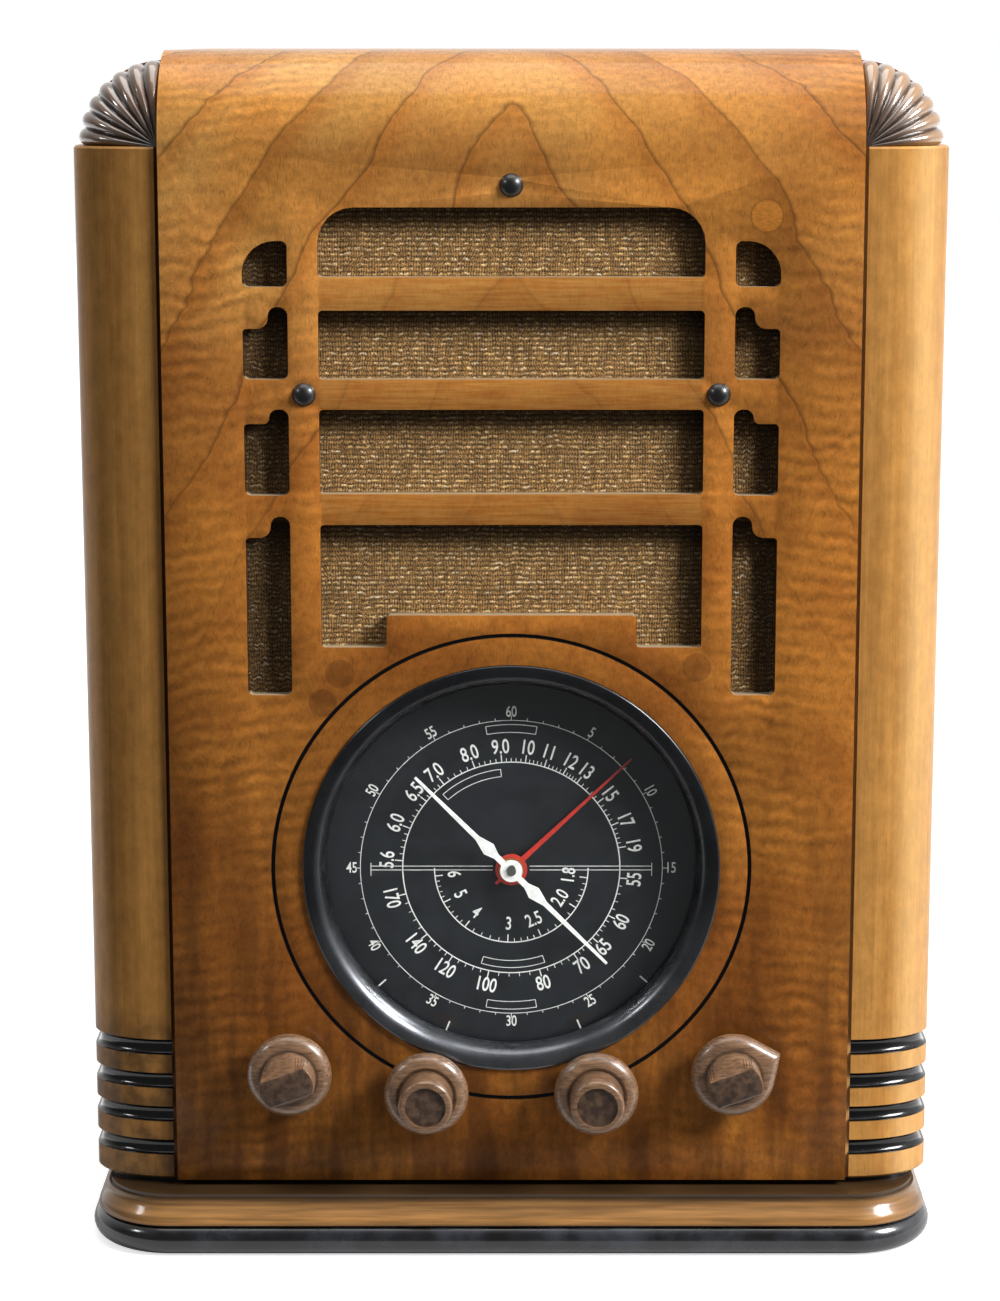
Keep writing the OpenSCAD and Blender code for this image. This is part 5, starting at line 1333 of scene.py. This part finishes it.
class RADIO_OT_studio(Operator):
    """Set up the floor, the soft lights and the camera"""

    bl_idname = "radio.studio"
    bl_label = "Studio"

    def execute(self, context):
        studio = context.scene.radio_studio
        self.add_floor(context, studio)
        self.light_world(context, studio)
        for name, (size, place, target) in LIGHTS.items():
            self.add_light(context, f"{name}_light", getattr(studio, f"{name}_power"), size, place, target)
        self.add_camera(context, studio)
        context.scene.view_settings.view_transform = "Standard"
        return {"FINISHED"}

    def add_floor(self, context, studio):
        """A pale floor that the camera sees as white where no shadow falls, with a painted shadow round the
        object in its reflections.
        """
        corners = [(-FLOOR_SIDE, FLOOR_FRONT, 0), (FLOOR_SIDE, FLOOR_FRONT, 0)]
        corners += [(FLOOR_SIDE, FLOOR_BACK, 0), (-FLOOR_SIDE, FLOOR_BACK, 0)]
        mesh = mesh_of("floor", lambda made: made.faces.new([made.verts.new(corner) for corner in corners]))
        f = Finish("floor_paper", Base_Color=studio.floor, Roughness=0.7)
        path = f.add("ShaderNodeLightPath").outputs
        away = f.length(f.x, f.y)
        # Painted shadow: glossy rays see the floor darker near the object
        mirrored = f.times(path["Is Glossy Ray"], f.fade(away, *FLOOR_REFLECTED_SHADOW_MM, 0.05, 1.0))
        seen = f.total(path["Is Camera Ray"], path["Is Transmission Ray"], mirrored)
        glow = f.times(seen, f.fade(away, *FLOOR_GLOW_MM, 0.68, 1.0))
        f.set(Emission_Color=(1.0, 1.0, 1.0), Emission_Strength=glow)
        mesh.materials.append(f.material)
        floor = bpy.data.objects.new("floor", mesh)
        context.scene.collection.objects.link(floor)

    def light_world(self, context, studio):
        """White to the camera, and a soft even light that is dimmer from the camera's side."""
        world = bpy.data.worlds.new("studio_world")
        world.use_nodes = True
        context.scene.world = world
        sky = Shading(world.node_tree)
        path = sky.add("ShaderNodeLightPath").outputs
        facing = sky.add("ShaderNodeVectorMath", operation="DOT_PRODUCT")
        sky.join(sky.add("ShaderNodeTexCoord").outputs["Generated"], facing.inputs[0])
        facing.inputs[1].default_value = BRIGHT_SIDE
        side = sky.fade(facing.outputs["Value"], *BRIGHT_TURN, studio.front_share, 1.0, "LINEAR")
        mirrored = sky.larger(path["Is Glossy Ray"], path["Is Transmission Ray"])
        around = sky.times(sky.blend(mirrored, studio.ambient, 1.0), side)
        strength = sky.blend(path["Is Camera Ray"], around, 1.0)
        shader = sky.feed(sky.add("ShaderNodeBackground"), Color=(1.0, 1.0, 1.0), Strength=strength)
        sky.feed(sky.add("ShaderNodeOutputWorld"), Surface=shader.outputs[0])

    def add_light(self, context, name, power, size, place, target):
        """A square soft light aimed at a point."""
        lamp = bpy.data.lights.new(name, "AREA")
        lamp.energy = power
        lamp.size = size
        light = bpy.data.objects.new(name, lamp)
        light.location = place
        light.rotation_euler = (Vector(target) - Vector(place)).to_track_quat("-Z", "Y").to_euler()
        context.scene.collection.objects.link(light)

    def add_camera(self, context, studio):
        """A camera in front that looks down a little."""
        lens = bpy.data.cameras.new("front_camera")
        lens.lens = studio.lens
        lens.sensor_width = SENSOR_WIDTH_MM
        lens.shift_x = studio.side_shift
        camera = bpy.data.objects.new("front_camera", lens)
        camera.location = (0, PANEL_LOW.y - studio.camera_away, studio.camera_height)
        camera.rotation_euler = (math.pi / 2 - studio.camera_dip, 0, 0)
        context.scene.collection.objects.link(camera)
        context.scene.camera = camera


GROUPS = {
    "radio_woods": RadioWoods,
    "radio_cloth": RadioCloth,
    "radio_dial": RadioDial,
    "radio_works": RadioWorks,
    "radio_studio": RadioStudio,
}
OPERATORS = (
    RADIO_OT_studio, RADIO_OT_cabinet, RADIO_OT_columns, RADIO_OT_base, RADIO_OT_grille, RADIO_OT_dial,
    RADIO_OT_knobs, RADIO_OT_speaker, RADIO_OT_chassis, RADIO_OT_condenser, RADIO_OT_tubes,
)


class RADIO_PT_looks(Panel):
    """Lists the looks of the radio"""

    bl_idname = "RADIO_PT_looks"
    bl_label = "Tombstone Radio"
    bl_space_type = "VIEW_3D"
    bl_region_type = "UI"
    bl_category = "Radio"

    def draw(self, context):
        for operator in OPERATORS:
            self.layout.operator(operator.bl_idname)
        for group in GROUPS:
            looks = getattr(context.scene, group)
            box = self.layout.box()
            for name in looks.__annotations__:
                box.prop(looks, name)


CLASSES = (*GROUPS.values(), *OPERATORS, RADIO_PT_looks)


def register():
    for cls in CLASSES:
        bpy.utils.register_class(cls)
    for name, group in GROUPS.items():
        setattr(bpy.types.Scene, name, PointerProperty(type=group))


def unregister():
    for name in GROUPS:
        delattr(bpy.types.Scene, name)
    for cls in reversed(CLASSES):
        bpy.utils.unregister_class(cls)


def main():
    register()
    for operator in OPERATORS:
        family, name = operator.bl_idname.split(".")
        getattr(getattr(bpy.ops, family), name)()


if __name__ == "__main__":
    main()
